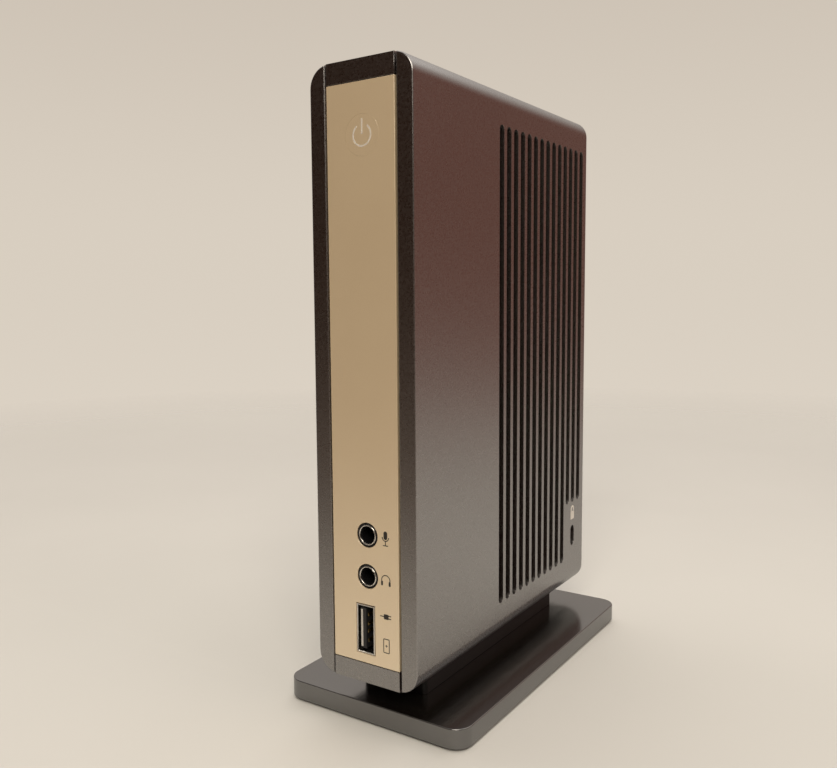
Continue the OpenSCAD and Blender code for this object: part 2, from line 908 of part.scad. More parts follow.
module front_board()
    color(board_green)
        difference() {
            span_box([front_x0, front_board_y0, front_board_z0], [front_x1, front_board_y1, front_board_z1]);
            for (z = front_hole_places)
                rod_x(front_hole_y, z, front_x0 - over, board_t + 2 * over, small_screw_r + screw_clear);
        }

module front_board_screws()
    color(steel)
        for (z = front_hole_places)
            translate([front_x1, front_hole_y, z])
                rotate([0, 90, 0])
                    pan_screw(small_screw_r, board_t + front_screw_bite, small_head_r, small_head_t);

// Stacking connector that joins the two boards.
module board_connector()
    color(black_plastic)
        span_box([board_x1, front_board_y1 - connector_d - connector_in, connector_z - connector_len / 2],
            [front_x0, front_board_y1 - connector_in, connector_z + connector_len / 2]);

module audio_jack(z)
    difference() {
        union() {
            span_box([front_x1, jack_body_y, z - jack_body_w / 2],
                [jack_x + jack_half, jack_body_y + jack_body_len, z + jack_body_w / 2]);
            rod_y(jack_x, z, front_y, jack_body_y - front_y + eps, nose_d / 2);
        }
        rod_y(jack_x, z, front_y - eps, jack_depth + eps, jack_d / 2);
    }

module mic_jack()
    color(black_plastic)
        audio_jack(mic_z);

module headphone_jack()
    color(black_plastic)
        audio_jack(phones_z);

module front_usb_shell()
    color(steel)
        difference() {
            span_box([usb_mid_x - usb_t / 2, front_y, front_usb_z - usb_w / 2],
                [usb_mid_x + usb_t / 2, front_y + usb_len, front_usb_z + usb_w / 2]);
            span_box([usb_mid_x - usb_t / 2 + usb_wall, front_y - over, front_usb_z - usb_w / 2 + usb_wall],
                [usb_mid_x + usb_t / 2 - usb_wall, front_y + usb_len + over,
                    front_usb_z + usb_w / 2 - usb_wall]);
        }

// Insulator: a block across the back of the shell and the tongue that carries the contacts.
module front_usb_core()
    color(black_plastic) {
        span_box([usb_mid_x - usb_t / 2 + usb_wall, front_y + usb_core_y, front_usb_z - usb_w / 2 + usb_wall],
            [usb_mid_x + usb_t / 2 - usb_wall, front_y + usb_len, front_usb_z + usb_w / 2 - usb_wall]);
        span_box([usb_mid_x - tongue_low, front_y + tongue_in, front_usb_z - tongue_half_w],
            [usb_mid_x - tongue_high, front_y + usb_core_y + eps, front_usb_z + tongue_half_w]);
    }

// ---------------------------------------------------------------- main board

module main_board()
    color(board_green)
        difference() {
            span_box([board_x0, board_y0, board_z0], [board_x1, board_y1, board_z1]);
            for (p = board_hole_places)
                rod_x(p[0], p[1], board_x0 - over, board_t + 2 * over, small_screw_r + screw_clear);
            for (z = front_hole_places)
                rod_x(front_hole_y, z, board_x0 - over, board_t + 2 * over, board_post_r + post_room);
        }

module main_board_screws()
    color(steel)
        for (p = board_hole_places)
            translate([board_x1, p[0], p[1]])
                rotate([0, 90, 0])
                    pan_screw(small_screw_r, board_t + board_back - main_screw_end, small_head_r,
                        small_head_t);

// The body of a port that stands on the main board with its mouth at the rear.
module port_block(z, len, h, depth)
    span_box([board_x1, port_face_y - depth, z - len / 2], [board_x1 + h, port_face_y, z + len / 2]);

module power_inlet()
    color(black_plastic)
        difference() {
            port_block(inlet_z, port_len[0], inlet_h, inlet_len);
            rod_y(board_x1 + inlet_x, inlet_z, port_face_y - inlet_depth, inlet_depth + over, inlet_bore_r);
        }

module power_inlet_pin()
    color(steel)
        rod_y(board_x1 + inlet_x, inlet_z, port_face_y - inlet_depth, inlet_depth - inlet_pin_in,
            inlet_pin_r);

// Opening of a USB-B socket: square, with its two outer corners cut off.
module usb_b_mouth()
    translate([board_x1 + usb_b_h / 2, usb_b_z])
        polygon([
            [-usb_b_t / 2, -usb_b_w / 2],
            [usb_b_t / 2 - usb_b_cut, -usb_b_w / 2],
            [usb_b_t / 2, -usb_b_w / 2 + usb_b_cut],
            [usb_b_t / 2, usb_b_w / 2 - usb_b_cut],
            [usb_b_t / 2 - usb_b_cut, usb_b_w / 2],
            [-usb_b_t / 2, usb_b_w / 2],
        ]);

module usb_b_shell()
    color(steel)
        difference() {
            port_block(usb_b_z, port_len[1], usb_b_h, usb_b_len);
            along_y(port_face_y - usb_b_len + usb_b_floor, usb_b_len)
                usb_b_mouth();
        }

// Insulator: the back of the socket and the square post that carries the contacts.
module usb_b_core()
    color(black_plastic) {
        along_y(port_face_y - usb_b_len + usb_b_floor, usb_b_back)
            usb_b_mouth();
        translate([board_x1 + usb_b_h / 2 - usb_b_post[0] / 2,
            port_face_y - usb_b_len + usb_b_floor + usb_b_back - post_joint, usb_b_z - usb_b_post[2] / 2])
            cube([usb_b_post[0], usb_b_post[1] - post_joint, usb_b_post[2]]);
    }

// The two slots of a stacked USB port, from its closed back towards its mouth.
module stack_slots(z, len)
    for (x = stack_xs)
        span_box([x - stack_slot_t / 2, stack_back_y, z - stack_slot_w / 2],
            [x + stack_slot_t / 2, stack_back_y + len, z + stack_slot_w / 2]);

module usb_stack_shell(z)
    difference() {
        port_block(z, port_len[2], stack_h, stack_len);
        stack_slots(z, stack_len + over);
    }

module usb_stack_core(z) {
    stack_slots(z, stack_core_t);
    for (x = stack_xs)
        span_box([x + tongue_high, stack_back_y + stack_core_t - post_joint, z - tongue_half_w],
            [x + tongue_low, port_face_y - tongue_recess, z + tongue_half_w]);
}

module usb_stack_low_shell()
    color(steel)
        usb_stack_shell(stack_low_z);

module usb_stack_low_core()
    color(black_plastic)
        usb_stack_core(stack_low_z);

module usb_stack_high_shell()
    color(steel)
        usb_stack_shell(stack_high_z);

module usb_stack_high_core()
    color(black_plastic)
        usb_stack_core(stack_high_z);

// A cut into the network socket's face, from x0 to x1 above the board and w wide.
module network_cut(x0, x1, w)
    span_box([board_x1 + x0, port_face_y - network_depth, network_z - w / 2],
        [board_x1 + x1, port_face_y + over, network_z + w / 2]);

// The two lamps beside the latch, from their back to a distance from the socket's face.
module lamp_pair(proud)
    for (s = [-1, 1])
        span_box([board_x1 + lamp_low, port_face_y - lamp_depth, network_z + s * lamp_side - lamp_w / 2],
            [board_x1 + lamp_low + lamp_t, port_face_y + proud, network_z + s * lamp_side + lamp_w / 2]);

// Network socket: the plug's opening with the two steps for its latch.
module network_jack()
    color(steel)
        difference() {
            port_block(network_z, port_len[4], network_h, network_len);
            network_cut(network_low, network_low + network_t, network_w);
            network_cut(latch_low, network_low + latch_lap, latch_w);
            network_cut(latch_tip_low, latch_low + over, latch_tip_w);
            lamp_pair(over);
        }

module network_contacts()
    color(brass)
        for (i = [0:contact_count - 1])
            translate([board_x1 + network_low + network_t - contact_reach, port_face_y - network_depth,
                network_z + (i - (contact_count - 1) / 2) * contact_pitch - contact_w / 2])
                cube([contact_reach, network_depth - contact_in, contact_w]);

module network_lamps()
    color([0.5, 0.8, 0.4])
        lamp_pair(-lamp_recess);

// Opening of an HDMI socket: a bar with its two inner corners cut off.
module hdmi_mouth()
    translate([hdmi_x, hdmi_z])
        polygon([
            [hdmi_t / 2, -hdmi_w / 2],
            [hdmi_t / 2, hdmi_w / 2],
            [-hdmi_t / 6, hdmi_w / 2],
            [-hdmi_t / 2, hdmi_w / 2 - hdmi_cut],
            [-hdmi_t / 2, -hdmi_w / 2 + hdmi_cut],
            [-hdmi_t / 6, -hdmi_w / 2],
        ]);

module hdmi_shell()
    color(steel)
        difference() {
            port_block(hdmi_z, port_len[5], hdmi_h, hdmi_len);
            along_y(hdmi_back_y, hdmi_len)
                hdmi_mouth();
        }

module hdmi_core()
    color(black_plastic) {
        along_y(hdmi_back_y, hdmi_core_t)
            hdmi_mouth();
        span_box([hdmi_x - hdmi_tongue_t / 2, hdmi_back_y + hdmi_core_t - post_joint,
            hdmi_z - hdmi_tongue_w / 2],
            [hdmi_x + hdmi_tongue_t / 2, port_face_y - tongue_recess, hdmi_z + hdmi_tongue_w / 2]);
    }

// D outline with slanted ends, t across X and w along Z.
module d_outline(t, w)
    polygon([[t / 2, -w / 2], [t / 2, w / 2], [-t / 2, w / 2 - vga_slant], [-t / 2, -w / 2 + vga_slant]]);

module vga_mouth()
    translate([vga_x, vga_z])
        d_outline(vga_shroud_t - 2 * vga_shroud_wall, vga_shroud_w - 2 * vga_shroud_wall);

// Socket block with its 15 contact holes.
module vga_body()
    color([0.10, 0.16, 0.42])
        difference() {
            union() {
                span_box([board_x1, rear_inner_y - vga_flange - vga_len, vga_screw_zs[0] + vga_body_end],
                    [board_x1 + vga_h, rear_inner_y - vga_flange, vga_screw_zs[1] - vga_body_end]);
                along_y(rear_inner_y - vga_flange - eps,
                    port_face_y - vga_mouth_depth - rear_inner_y + vga_flange)
                    vga_mouth();
            }
            for (row = [-1, 0, 1], i = [-2:2])
                rod_y(vga_x + row * vga_row_step, vga_z + i * vga_hole_step + row * vga_hole_shift,
                    rear_inner_y - vga_hole_depth, vga_hole_depth + rear_t + 2 * over, vga_hole_r);
        }

module vga_shroud()
    color(steel)
        difference() {
            union() {
                span_box([board_x1, rear_inner_y - vga_flange, vga_z - port_len[6] / 2],
                    [board_x1 + vga_h, rear_inner_y, vga_z + port_len[6] / 2]);
                along_y(rear_inner_y - vga_flange, port_face_y - rear_inner_y + vga_flange)
                    translate([vga_x, vga_z])
                        d_outline(vga_shroud_t, vga_shroud_w);
            }
            along_y(rear_inner_y - vga_flange - over, port_face_y - rear_inner_y + vga_flange + 2 * over)
                vga_mouth();
            for (z = vga_screw_zs)
                rod_y(vga_x, z, rear_inner_y - vga_flange - over, vga_flange + 2 * over,
                    vga_stud_r + vga_stud_clear);
        }

module vga_jack_nuts()
    color(steel)
        for (z = vga_screw_zs)
            difference() {
                union() {
                    translate([vga_x, rear_inner_y, z])
                        rotate([-90, 0, 0])
                            cylinder(h = port_face_y - rear_inner_y + vga_nut_proud, r = vga_nut_r, $fn = 6);
                    rod_y(vga_x, z, rear_inner_y - vga_stud_len, vga_stud_len + eps, vga_stud_r);
                }
                rod_y(vga_x, z, rear_inner_y - vga_thread_depth, rear_t + vga_thread_depth + 2 * over,
                    vga_thread_r);
            }

// ---------------------------------------------------------------- components

// A flat package on the main board, given by its middle, its size and its height.
module package(y, z, sy, sz, h)
    span_box([board_x1, y - sy / 2, z - sz / 2], [board_x1 + h, y + sy / 2, z + sz / 2]);

module video_chip()
    color(chip_black)
        package(chip_y, chip_z, chip_w, chip_w, chip_h);

module thermal_pad()
    color([0.55, 0.65, 0.72])
        translate([chip_h, 0, 0])
            package(chip_y, chip_z, chip_w - 1, chip_w - 1, pad_h);

module heat_sink()
    color([0.12, 0.12, 0.13])
        translate([chip_h + pad_h, 0, 0]) {
            package(chip_y, chip_z, sink_w, sink_w, sink_base);
            for (i = [0:sink_fins - 1])
                package(chip_y - (sink_w - fin_t) / 2 + i * (sink_w - fin_t) / (sink_fins - 1), chip_z,
                    fin_t, sink_w, sink_h);
        }

module hub_chip()
    color(chip_black)
        package(hub_place[0], hub_place[1], hub_w, hub_w, small_chip_h);

module network_chip()
    color(chip_black)
        package(network_chip_place[0], network_chip_place[1], network_chip_w, network_chip_w, small_chip_h);

module memory_chips()
    color(chip_black)
        for (s = [-1, 1])
            package(memory_y, chip_z + s * memory_step, memory_size[0], memory_size[1], memory_size[2]);

module network_transformer()
    color(chip_black)
        package(transformer_place[0], transformer_place[1], transformer_size[0], transformer_size[1],
            transformer_size[2]);

module capacitors()
    color(steel)
        for (i = [0:can_count - 1])
            rod_x(can_y - (i % 2) * can_row_step, can_z + i * can_step, board_x1, can_h, can_r);

module power_coils()
    color([0.25, 0.25, 0.26])
        for (i = [0:coil_count - 1])
            package(coil_y, coil_z + i * coil_step, coil_w, coil_w, coil_h);

module crystals()
    color(steel)
        for (p = crystal_places)
            package(p[0], p[1], crystal_size[0], crystal_size[1], crystal_size[2]);

// ---------------------------------------------------------------- nodes

stand_base();
stand_weight();
stand_bottom_cover();
stand_cover_screws();
stand_feet();
stand_pedestal();
pedestal_screws();
left_cover();
right_cover();
centre_frame();
front_panel();
rear_panel();
rear_screws();
lock_plate();
power_key();
power_symbol();
switch_plunger();
switch_housing();
power_lamp();
front_board();
front_board_screws();
board_connector();
mic_jack();
headphone_jack();
front_usb_shell();
front_usb_core();
main_board();
main_board_screws();
power_inlet();
power_inlet_pin();
usb_b_shell();
usb_b_core();
usb_stack_low_shell();
usb_stack_low_core();
usb_stack_high_shell();
usb_stack_high_core();
network_jack();
network_contacts();
network_lamps();
hdmi_shell();
hdmi_core();
vga_body();
vga_shroud();
vga_jack_nuts();
video_chip();
thermal_pad();
heat_sink();
hub_chip();
network_chip();
memory_chips();
network_transformer();
capacitors();
power_coils();
crystals();
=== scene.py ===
"""Laptop docking station: looks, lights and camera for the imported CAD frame. Lengths are in metres."""

import json
import math
import random

import bmesh
import bpy
from mathutils import Matrix, Vector

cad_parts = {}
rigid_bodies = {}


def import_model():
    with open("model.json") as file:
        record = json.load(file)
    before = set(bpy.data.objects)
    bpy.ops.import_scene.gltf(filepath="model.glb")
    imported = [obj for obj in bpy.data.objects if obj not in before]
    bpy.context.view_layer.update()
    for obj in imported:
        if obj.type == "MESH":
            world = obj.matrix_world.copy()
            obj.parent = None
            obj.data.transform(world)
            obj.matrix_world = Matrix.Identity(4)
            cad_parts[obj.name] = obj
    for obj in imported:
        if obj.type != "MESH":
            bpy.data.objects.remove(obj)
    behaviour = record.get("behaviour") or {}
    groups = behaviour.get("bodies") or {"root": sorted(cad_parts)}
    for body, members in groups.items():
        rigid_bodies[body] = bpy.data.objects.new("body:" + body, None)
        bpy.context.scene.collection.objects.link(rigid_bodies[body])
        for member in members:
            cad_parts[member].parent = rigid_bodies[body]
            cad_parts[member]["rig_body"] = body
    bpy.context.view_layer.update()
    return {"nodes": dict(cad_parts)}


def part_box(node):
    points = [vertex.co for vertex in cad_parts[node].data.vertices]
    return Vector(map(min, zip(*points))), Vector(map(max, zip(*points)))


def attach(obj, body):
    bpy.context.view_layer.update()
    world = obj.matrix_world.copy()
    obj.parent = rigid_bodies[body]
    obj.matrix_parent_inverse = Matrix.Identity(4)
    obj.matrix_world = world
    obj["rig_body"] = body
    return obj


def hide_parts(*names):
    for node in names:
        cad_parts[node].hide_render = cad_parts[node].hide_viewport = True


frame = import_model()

MM = 0.001
FRONT_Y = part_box("centre_frame")[0].y
REAR_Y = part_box("centre_frame")[1].y
BASE_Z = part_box("centre_frame")[0].z
TOP_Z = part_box("centre_frame")[1].z
SIDE_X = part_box("right_cover")[1].x
REAR_FACE_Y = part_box("rear_panel")[1].y
PLATE_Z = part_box("stand_base")[1].z
INSET = 0.02 * MM
SIGN_X = 6.5 * MM
SIGN_LINE = 0.24 * MM

# ---------------- camera, floor and lights


def show(thing):
    bpy.context.scene.collection.objects.link(thing)


def add_camera():
    """The camera stands in front of the dock's right corner, at about two thirds of its height."""
    right, forward, up = 128.8 * MM, 173.95 * MM, 102.07 * MM
    turn_left, look_down, tilt = 34.372, 5.434, -0.526
    data = bpy.data.cameras.new("camera")
    data.sensor_width = 36
    data.lens = 36.59
    data.shift_x = 0.0286
    data.shift_y = -0.0099
    data.clip_start = 0.01
    data.dof.use_dof = False
    camera = bpy.data.objects.new("camera", data)
    place = Vector((right, FRONT_Y - forward, BASE_Z + up))
    yaw = Matrix.Rotation(math.radians(turn_left), 4, "Z")
    pitch = Matrix.Rotation(math.radians(90 - look_down), 4, "X")
    roll = Matrix.Rotation(math.radians(tilt), 4, "Z")
    camera.matrix_world = Matrix.Translation(place) @ yaw @ pitch @ roll
    show(camera)
    bpy.context.scene.camera = camera


def add_area_light(name, place, target, size, power, colour):
    data = bpy.data.lights.new(name, "AREA")
    data.shape = "RECTANGLE"
    data.size, data.size_y = size
    data.energy = power
    data.color = colour
    light = bpy.data.objects.new(name, data)
    aim = (Vector(target) - Vector(place)).to_track_quat("-Z", "Y")
    light.matrix_world = Matrix.Translation(place) @ aim.to_matrix().to_4x4()
    light.visible_camera = False
    show(light)


def add_world():
    """A pale room: light paper beside and behind the dock, a dim warm room in front, a bright ceiling."""
    pale_right, brown_right = (0.72, 0.60, 0.52), (0.275, 0.120, 0.090)
    pale_left, grey_left = (0.66, 0.58, 0.51), (0.50, 0.45, 0.40)
    pale_front, dark_front = (0.45, 0.34, 0.26), (0.022, 0.009, 0.004)
    dim_ceiling, bright_ceiling = (0.10, 0.08, 0.065), (0.92, 0.84, 0.77)
    near_ground, far_ground, backdrop = (0.71, 0.64, 0.55), (0.69, 0.62, 0.53), (0.60, 0.53, 0.45)
    world = bpy.data.worlds.new("studio")
    bpy.context.scene.world = world
    world.use_nodes = True
    tree = world.node_tree
    nodes, links = tree.nodes, tree.links
    nodes.clear()
    out = nodes.new("ShaderNodeOutputWorld")
    coord = nodes.new("ShaderNodeTexCoord")
    split = nodes.new("ShaderNodeSeparateXYZ")
    links.new(coord.outputs["Generated"], split.inputs[0])

    def ramp(source, low, high):
        node = nodes.new("ShaderNodeMapRange")
        node.interpolation_type = "SMOOTHSTEP"
        node.inputs["From Min"].default_value = low
        node.inputs["From Max"].default_value = high
        links.new(source, node.inputs["Value"])
        return node.outputs["Result"]

    def mix(factor, first, second):
        node = nodes.new("ShaderNodeMix")
        node.data_type = "RGBA"
        links.new(factor, node.inputs["Factor"])
        for socket, value in ((node.inputs["A"], first), (node.inputs["B"], second)):
            if isinstance(value, tuple):
                socket.default_value = (*value, 1)
            else:
                links.new(value, socket)
        return node.outputs["Result"]

    sideways, depth, height = (split.outputs[axis] for axis in "XYZ")
    right = mix(ramp(height, -0.34, 0.02), pale_right, brown_right)
    left = mix(ramp(height, 0.0, 0.9), pale_left, grey_left)
    behind = mix(ramp(sideways, -0.20, 0.35), left, right)
    room = mix(ramp(height, -0.55, 0.0), pale_front, dark_front)
    around = mix(ramp(depth, -0.50, 0.25), room, behind)
    ceiling = mix(ramp(depth, -0.55, 0.05), dim_ceiling, bright_ceiling)
    lighting = mix(ramp(height, 0.28, 0.66), around, ceiling)
    ground = mix(ramp(height, -0.16, 0.04), near_ground, far_ground)
    seen = mix(ramp(height, 0.04, 0.42), ground, backdrop)
    light_background = nodes.new("ShaderNodeBackground")
    seen_background = nodes.new("ShaderNodeBackground")
    links.new(lighting, light_background.inputs["Color"])
    links.new(seen, seen_background.inputs["Color"])
    path = nodes.new("ShaderNodeLightPath")
    both = nodes.new("ShaderNodeMixShader")
    links.new(path.outputs["Is Camera Ray"], both.inputs["Fac"])
    links.new(light_background.outputs[0], both.inputs[1])
    links.new(seen_background.outputs[0], both.inputs[2])
    links.new(both.outputs[0], out.inputs["Surface"])


def add_floor(finish):
    half_width = 4
    bm = bmesh.new()
    bmesh.ops.create_grid(bm, x_segments=1, y_segments=1, size=half_width)
    mesh = bpy.data.meshes.new("floor")
    bm.to_mesh(mesh)
    bm.free()
    mesh.materials.append(finish)
    floor = bpy.data.objects.new("floor", mesh)
    show(floor)


# ---------------- materials


def new_finish(name):
    """A node material with its shader and an object-space texture coordinate."""
    finish = bpy.data.materials.new(name)
    finish.use_nodes = True
    nodes = finish.node_tree.nodes
    coord = nodes.new("ShaderNodeTexCoord")
    return finish, nodes, finish.node_tree.links, nodes["Principled BSDF"], coord.outputs["Object"]


def noise(nodes, links, coord, scale, detail=2.0, stretch=(1, 1, 1)):
    """Noise with grains about 1 / scale metres across, drawn out along an axis where stretch is small."""
    mapping = nodes.new("ShaderNodeMapping")
    mapping.inputs["Scale"].default_value = stretch
    texture = nodes.new("ShaderNodeTexNoise")
    texture.inputs["Scale"].default_value = scale
    texture.inputs["Detail"].default_value = detail
    links.new(coord, mapping.inputs["Vector"])
    links.new(mapping.outputs[0], texture.inputs["Vector"])
    return texture.outputs["Fac"]


def spread(nodes, links, source, low, high, start=0.3, end=0.7):
    """Turns noise into a value between low and high."""
    node = nodes.new("ShaderNodeMapRange")
    node.inputs["From Min"].default_value = start
    node.inputs["From Max"].default_value = end
    node.inputs["To Min"].default_value = low
    node.inputs["To Max"].default_value = high
    links.new(source, node.inputs["Value"])
    return node.outputs["Result"]


def tint(nodes, links, source, dark, light, start=0.3, end=0.7):
    """Turns noise into a colour between dark and light."""
    node = nodes.new("ShaderNodeValToRGB")
    node.color_ramp.elements[0].position = start
    node.color_ramp.elements[1].position = end
    node.color_ramp.elements[0].color = (*dark, 1)
    node.color_ramp.elements[1].color = (*light, 1)
    links.new(source, node.inputs["Fac"])
    return node.outputs["Color"]


def blend(nodes, links, mode, first, second):
    """Puts two colours together, by multiplying or adding them."""
    node = nodes.new("ShaderNodeMix")
    node.data_type = "RGBA"
    node.blend_type = mode
    node.inputs["Factor"].default_value = 1.0
    links.new(first, node.inputs["A"])
    links.new(second, node.inputs["B"])
    return node.outputs["Result"]


def add_bump(nodes, links, shader, source, height, strength=1.0):
    node = nodes.new("ShaderNodeBump")
    node.inputs["Strength"].default_value = strength
    node.inputs["Distance"].default_value = height
    links.new(source, node.inputs["Height"])
    links.new(node.outputs["Normal"], shader.inputs["Normal"])


def moulded_plastic(
    name, colour, rough, grain=2600, relief=0.004 * MM, ior=1.5, rough_range=0.06, mottle=0.16
):
    """Spark-eroded plastic: a fine even grain, faint mottling, and roughness that wanders a little."""
    finish, nodes, links, shader, coord = new_finish(name)
    cloud = noise(nodes, links, coord, 55, 3)
    dark = tuple(c * (1 - mottle) for c in colour)
    light = tuple(c * (1 + mottle) for c in colour)
    links.new(tint(nodes, links, cloud, dark, light), shader.inputs["Base Color"])
    fine = noise(nodes, links, coord, grain, 3)
    uneven = spread(nodes, links, fine, rough - rough_range, rough + rough_range)
    links.new(uneven, shader.inputs["Roughness"])
    shader.inputs["IOR"].default_value = ior
    add_bump(nodes, links, shader, fine, relief)
    return finish


def metallic_paint(name, colour, rough, metal=0.85):
    """Satin paint with fine metal flakes, under a clear coat."""
    flakes_per_metre = 9000
    coat_roughness, coat_ior = 0.34, 2.5
    finish, nodes, links, shader, coord = new_finish(name)
    flakes = nodes.new("ShaderNodeTexVoronoi")
    flakes.inputs["Scale"].default_value = flakes_per_metre
    links.new(coord, flakes.inputs["Vector"])
    cloud = noise(nodes, links, coord, 30, 2)
    light = tuple(min(1, c * 1.05) for c in colour)
    dark = tuple(c * 0.93 for c in colour)
    glints = tint(nodes, links, flakes.outputs["Distance"], light, dark, 0.1, 0.9)
    shade = tint(nodes, links, cloud, (0.96, 0.95, 0.94), (1, 1, 1))
    links.new(blend(nodes, links, "MULTIPLY", glints, shade), shader.inputs["Base Color"])
    fine = noise(nodes, links, coord, 5200, 2)
    links.new(spread(nodes, links, fine, rough - 0.05, rough + 0.05), shader.inputs["Roughness"])
    shader.inputs["Metallic"].default_value = metal
    shader.inputs["Coat Weight"].default_value = 1.0
    shader.inputs["Coat Roughness"].default_value = coat_roughness
    shader.inputs["Coat IOR"].default_value = coat_ior
    add_bump(nodes, links, shader, fine, 0.0012 * MM)
    return finish


def plated_metal(name, colour, rough, stretch=(1, 1, 0.08), scale=1800):
    """Rolled or plated metal with faint drawing lines and uneven polish."""
    finish, nodes, links, shader, coord = new_finish(name)
    lines = noise(nodes, links, coord, scale, 3, stretch)
    cloud = noise(nodes, links, coord, 260, 3)
    dark = tuple(c * 0.93 for c in colour)
    links.new(tint(nodes, links, cloud, dark, colour), shader.inputs["Base Color"])
    links.new(spread(nodes, links, lines, rough - 0.04, rough + 0.05), shader.inputs["Roughness"])
    shader.inputs["Metallic"].default_value = 1.0
    add_bump(nodes, links, shader, lines, 0.0007 * MM)
    return finish


def circuit_board(name):
    """Green solder mask over copper tracks, with small gilt vias."""
    track_scale, via_scale = 420, 330
    finish, nodes, links, shader, coord = new_finish(name)
    mapping = nodes.new("ShaderNodeMapping")
    mapping.inputs["Scale"].default_value = (0, 1, 1)
    links.new(coord, mapping.inputs["Vector"])
    cells = nodes.new("ShaderNodeTexBrick")
    cells.offset = 0.5
    cells.squash = 0.6
    cells.squash_frequency = 3
    cells.inputs["Scale"].default_value = track_scale
    cells.inputs["Mortar Size"].default_value = 0.035
    cells.inputs["Color1"].default_value = (0.012, 0.072, 0.035, 1)
    cells.inputs["Color2"].default_value = (0.014, 0.090, 0.044, 1)
    cells.inputs["Mortar"].default_value = (0.035, 0.16, 0.075, 1)
    turned = nodes.new("ShaderNodeMapping")
    turned.inputs["Rotation"].default_value = (math.pi / 4, 0, math.pi / 2)
    links.new(mapping.outputs[0], turned.inputs["Vector"])
    links.new(turned.outputs[0], cells.inputs["Vector"])
    vias = nodes.new("ShaderNodeTexVoronoi")
    vias.inputs["Scale"].default_value = via_scale
    links.new(mapping.outputs[0], vias.inputs["Vector"])
    dots = tint(nodes, links, vias.outputs["Distance"], (0.55, 0.42, 0.16), (0, 0, 0), 0.10, 0.13)
    colour = blend(nodes, links, "ADD", cells.outputs["Color"], dots)
    links.new(colour, shader.inputs["Base Color"])
    fine = noise(nodes, links, coord, 3000, 2)
    links.new(spread(nodes, links, fine, 0.28, 0.42), shader.inputs["Roughness"])
    shader.inputs["Coat Weight"].default_value = 0.3
    add_bump(nodes, links, shader, cells.outputs["Fac"], 0.03 * MM, 0.4)
    return finish


def clear_lens(name, colour, rough=0.35, weight=0.3):
    """Milky plastic that lets some light through."""
    finish, nodes, links, shader, coord = new_finish(name)
    cloud = noise(nodes, links, coord, 900, 2)
    light = tuple(min(1, c * 1.06) for c in colour)
    links.new(tint(nodes, links, cloud, colour, light), shader.inputs["Base Color"])
    links.new(spread(nodes, links, cloud, rough - 0.08, rough + 0.08), shader.inputs["Roughness"])
    shader.inputs["Subsurface Weight"].default_value = weight
    shader.inputs["Subsurface Radius"].default_value = (0.0006, 0.0005, 0.0004)
    add_bump(nodes, links, shader, cloud, 0.003 * MM)
    return finish


def pale_paper(name):
    """The studio floor: matt, faintly cloudy paper that fades out far away and in front of the dock."""
    fade_from, fade_to = 0.20, 0.80
    front_edge, front_full = -0.26, -0.05
    dark, light = (0.71, 0.71, 0.67), (0.75, 0.75, 0.71)
    finish, nodes, links, shader, coord = new_finish(name)
    cloud = noise(nodes, links, coord, 5, 3)
    links.new(tint(nodes, links, cloud, dark, light), shader.inputs["Base Color"])
    fine = noise(nodes, links, coord, 900, 3)
    links.new(spread(nodes, links, fine, 0.62, 0.74), shader.inputs["Roughness"])
    add_bump(nodes, links, shader, fine, 0.02 * MM, 0.4)
    distance = nodes.new("ShaderNodeVectorMath")
    distance.operation = "LENGTH"
    links.new(coord, distance.inputs[0])
    split = nodes.new("ShaderNodeSeparateXYZ")
    links.new(coord, split.inputs[0])
    fade = nodes.new("ShaderNodeMath")
    fade.operation = "MULTIPLY"
    links.new(spread(nodes, links, distance.outputs["Value"], 1, 0, fade_from, fade_to), fade.inputs[0])
    links.new(spread(nodes, links, split.outputs["Y"], 0, 1, front_edge, front_full), fade.inputs[1])
    links.new(fade.outputs[0], shader.inputs["Alpha"])
    return finish


FINISHES = {}


def add_finish(name, make, *look, **details):
    """Keeps a finish under the name of its material slot."""
    FINISHES[name] = make(name, *look, **details)


add_finish("shell_plastic", moulded_plastic, (0.011, 0.004, 0.002), 0.30, ior=3.5)
add_finish("panel_satin", metallic_paint, (1.0, 0.80, 0.53), 0.42, 0.25)
add_finish("black_plastic", moulded_plastic, (0.016, 0.016, 0.017), 0.46, grain=2000)
add_finish("pedestal_plastic", moulded_plastic, (0.008, 0.0075, 0.007), 0.42, ior=1.45)
add_finish(
    "jack_plastic", moulded_plastic, (0.007, 0.007, 0.008), 0.30, grain=3600, relief=0.002 * MM, ior=1.38
)
add_finish("port_steel", plated_metal, (0.78, 0.76, 0.71), 0.24)
add_finish("screw_steel", plated_metal, (0.20, 0.20, 0.205), 0.34, (1, 1, 1), 2400)
add_finish("weight_steel", plated_metal, (0.52, 0.53, 0.55), 0.38, (0.1, 1, 1), 1200)
add_finish("contact_gold", plated_metal, (0.92, 0.68, 0.28), 0.22, (1, 0.1, 1), 2600)
add_finish("foot_rubber", moulded_plastic, (0.022, 0.022, 0.023), 0.78, grain=1500, relief=0.012 * MM)
add_finish("symbol_lens", clear_lens, (0.80, 0.76, 0.68))
add_finish("lamp_lens", clear_lens, (0.62, 0.80, 0.58), 0.25)
add_finish("board_green", circuit_board)
add_finish("chip_black", moulded_plastic, (0.020, 0.020, 0.022), 0.52, grain=4200, relief=0.005 * MM)
add_finish("pad_grey", moulded_plastic, (0.28, 0.29, 0.31), 0.70, grain=1400, relief=0.01 * MM)
add_finish("sink_aluminium", plated_metal, (0.66, 0.67, 0.69), 0.36, (1, 1, 0.06), 1500)
add_finish("can_aluminium", plated_metal, (0.70, 0.71, 0.72), 0.26, (1, 1, 1), 1800)
add_finish("ferrite", moulded_plastic, (0.060, 0.058, 0.056), 0.62, grain=1300, relief=0.02 * MM, mottle=0.3)
add_finish("vga_blue", moulded_plastic, (0.012, 0.040, 0.30), 0.40, grain=2800, relief=0.003 * MM)

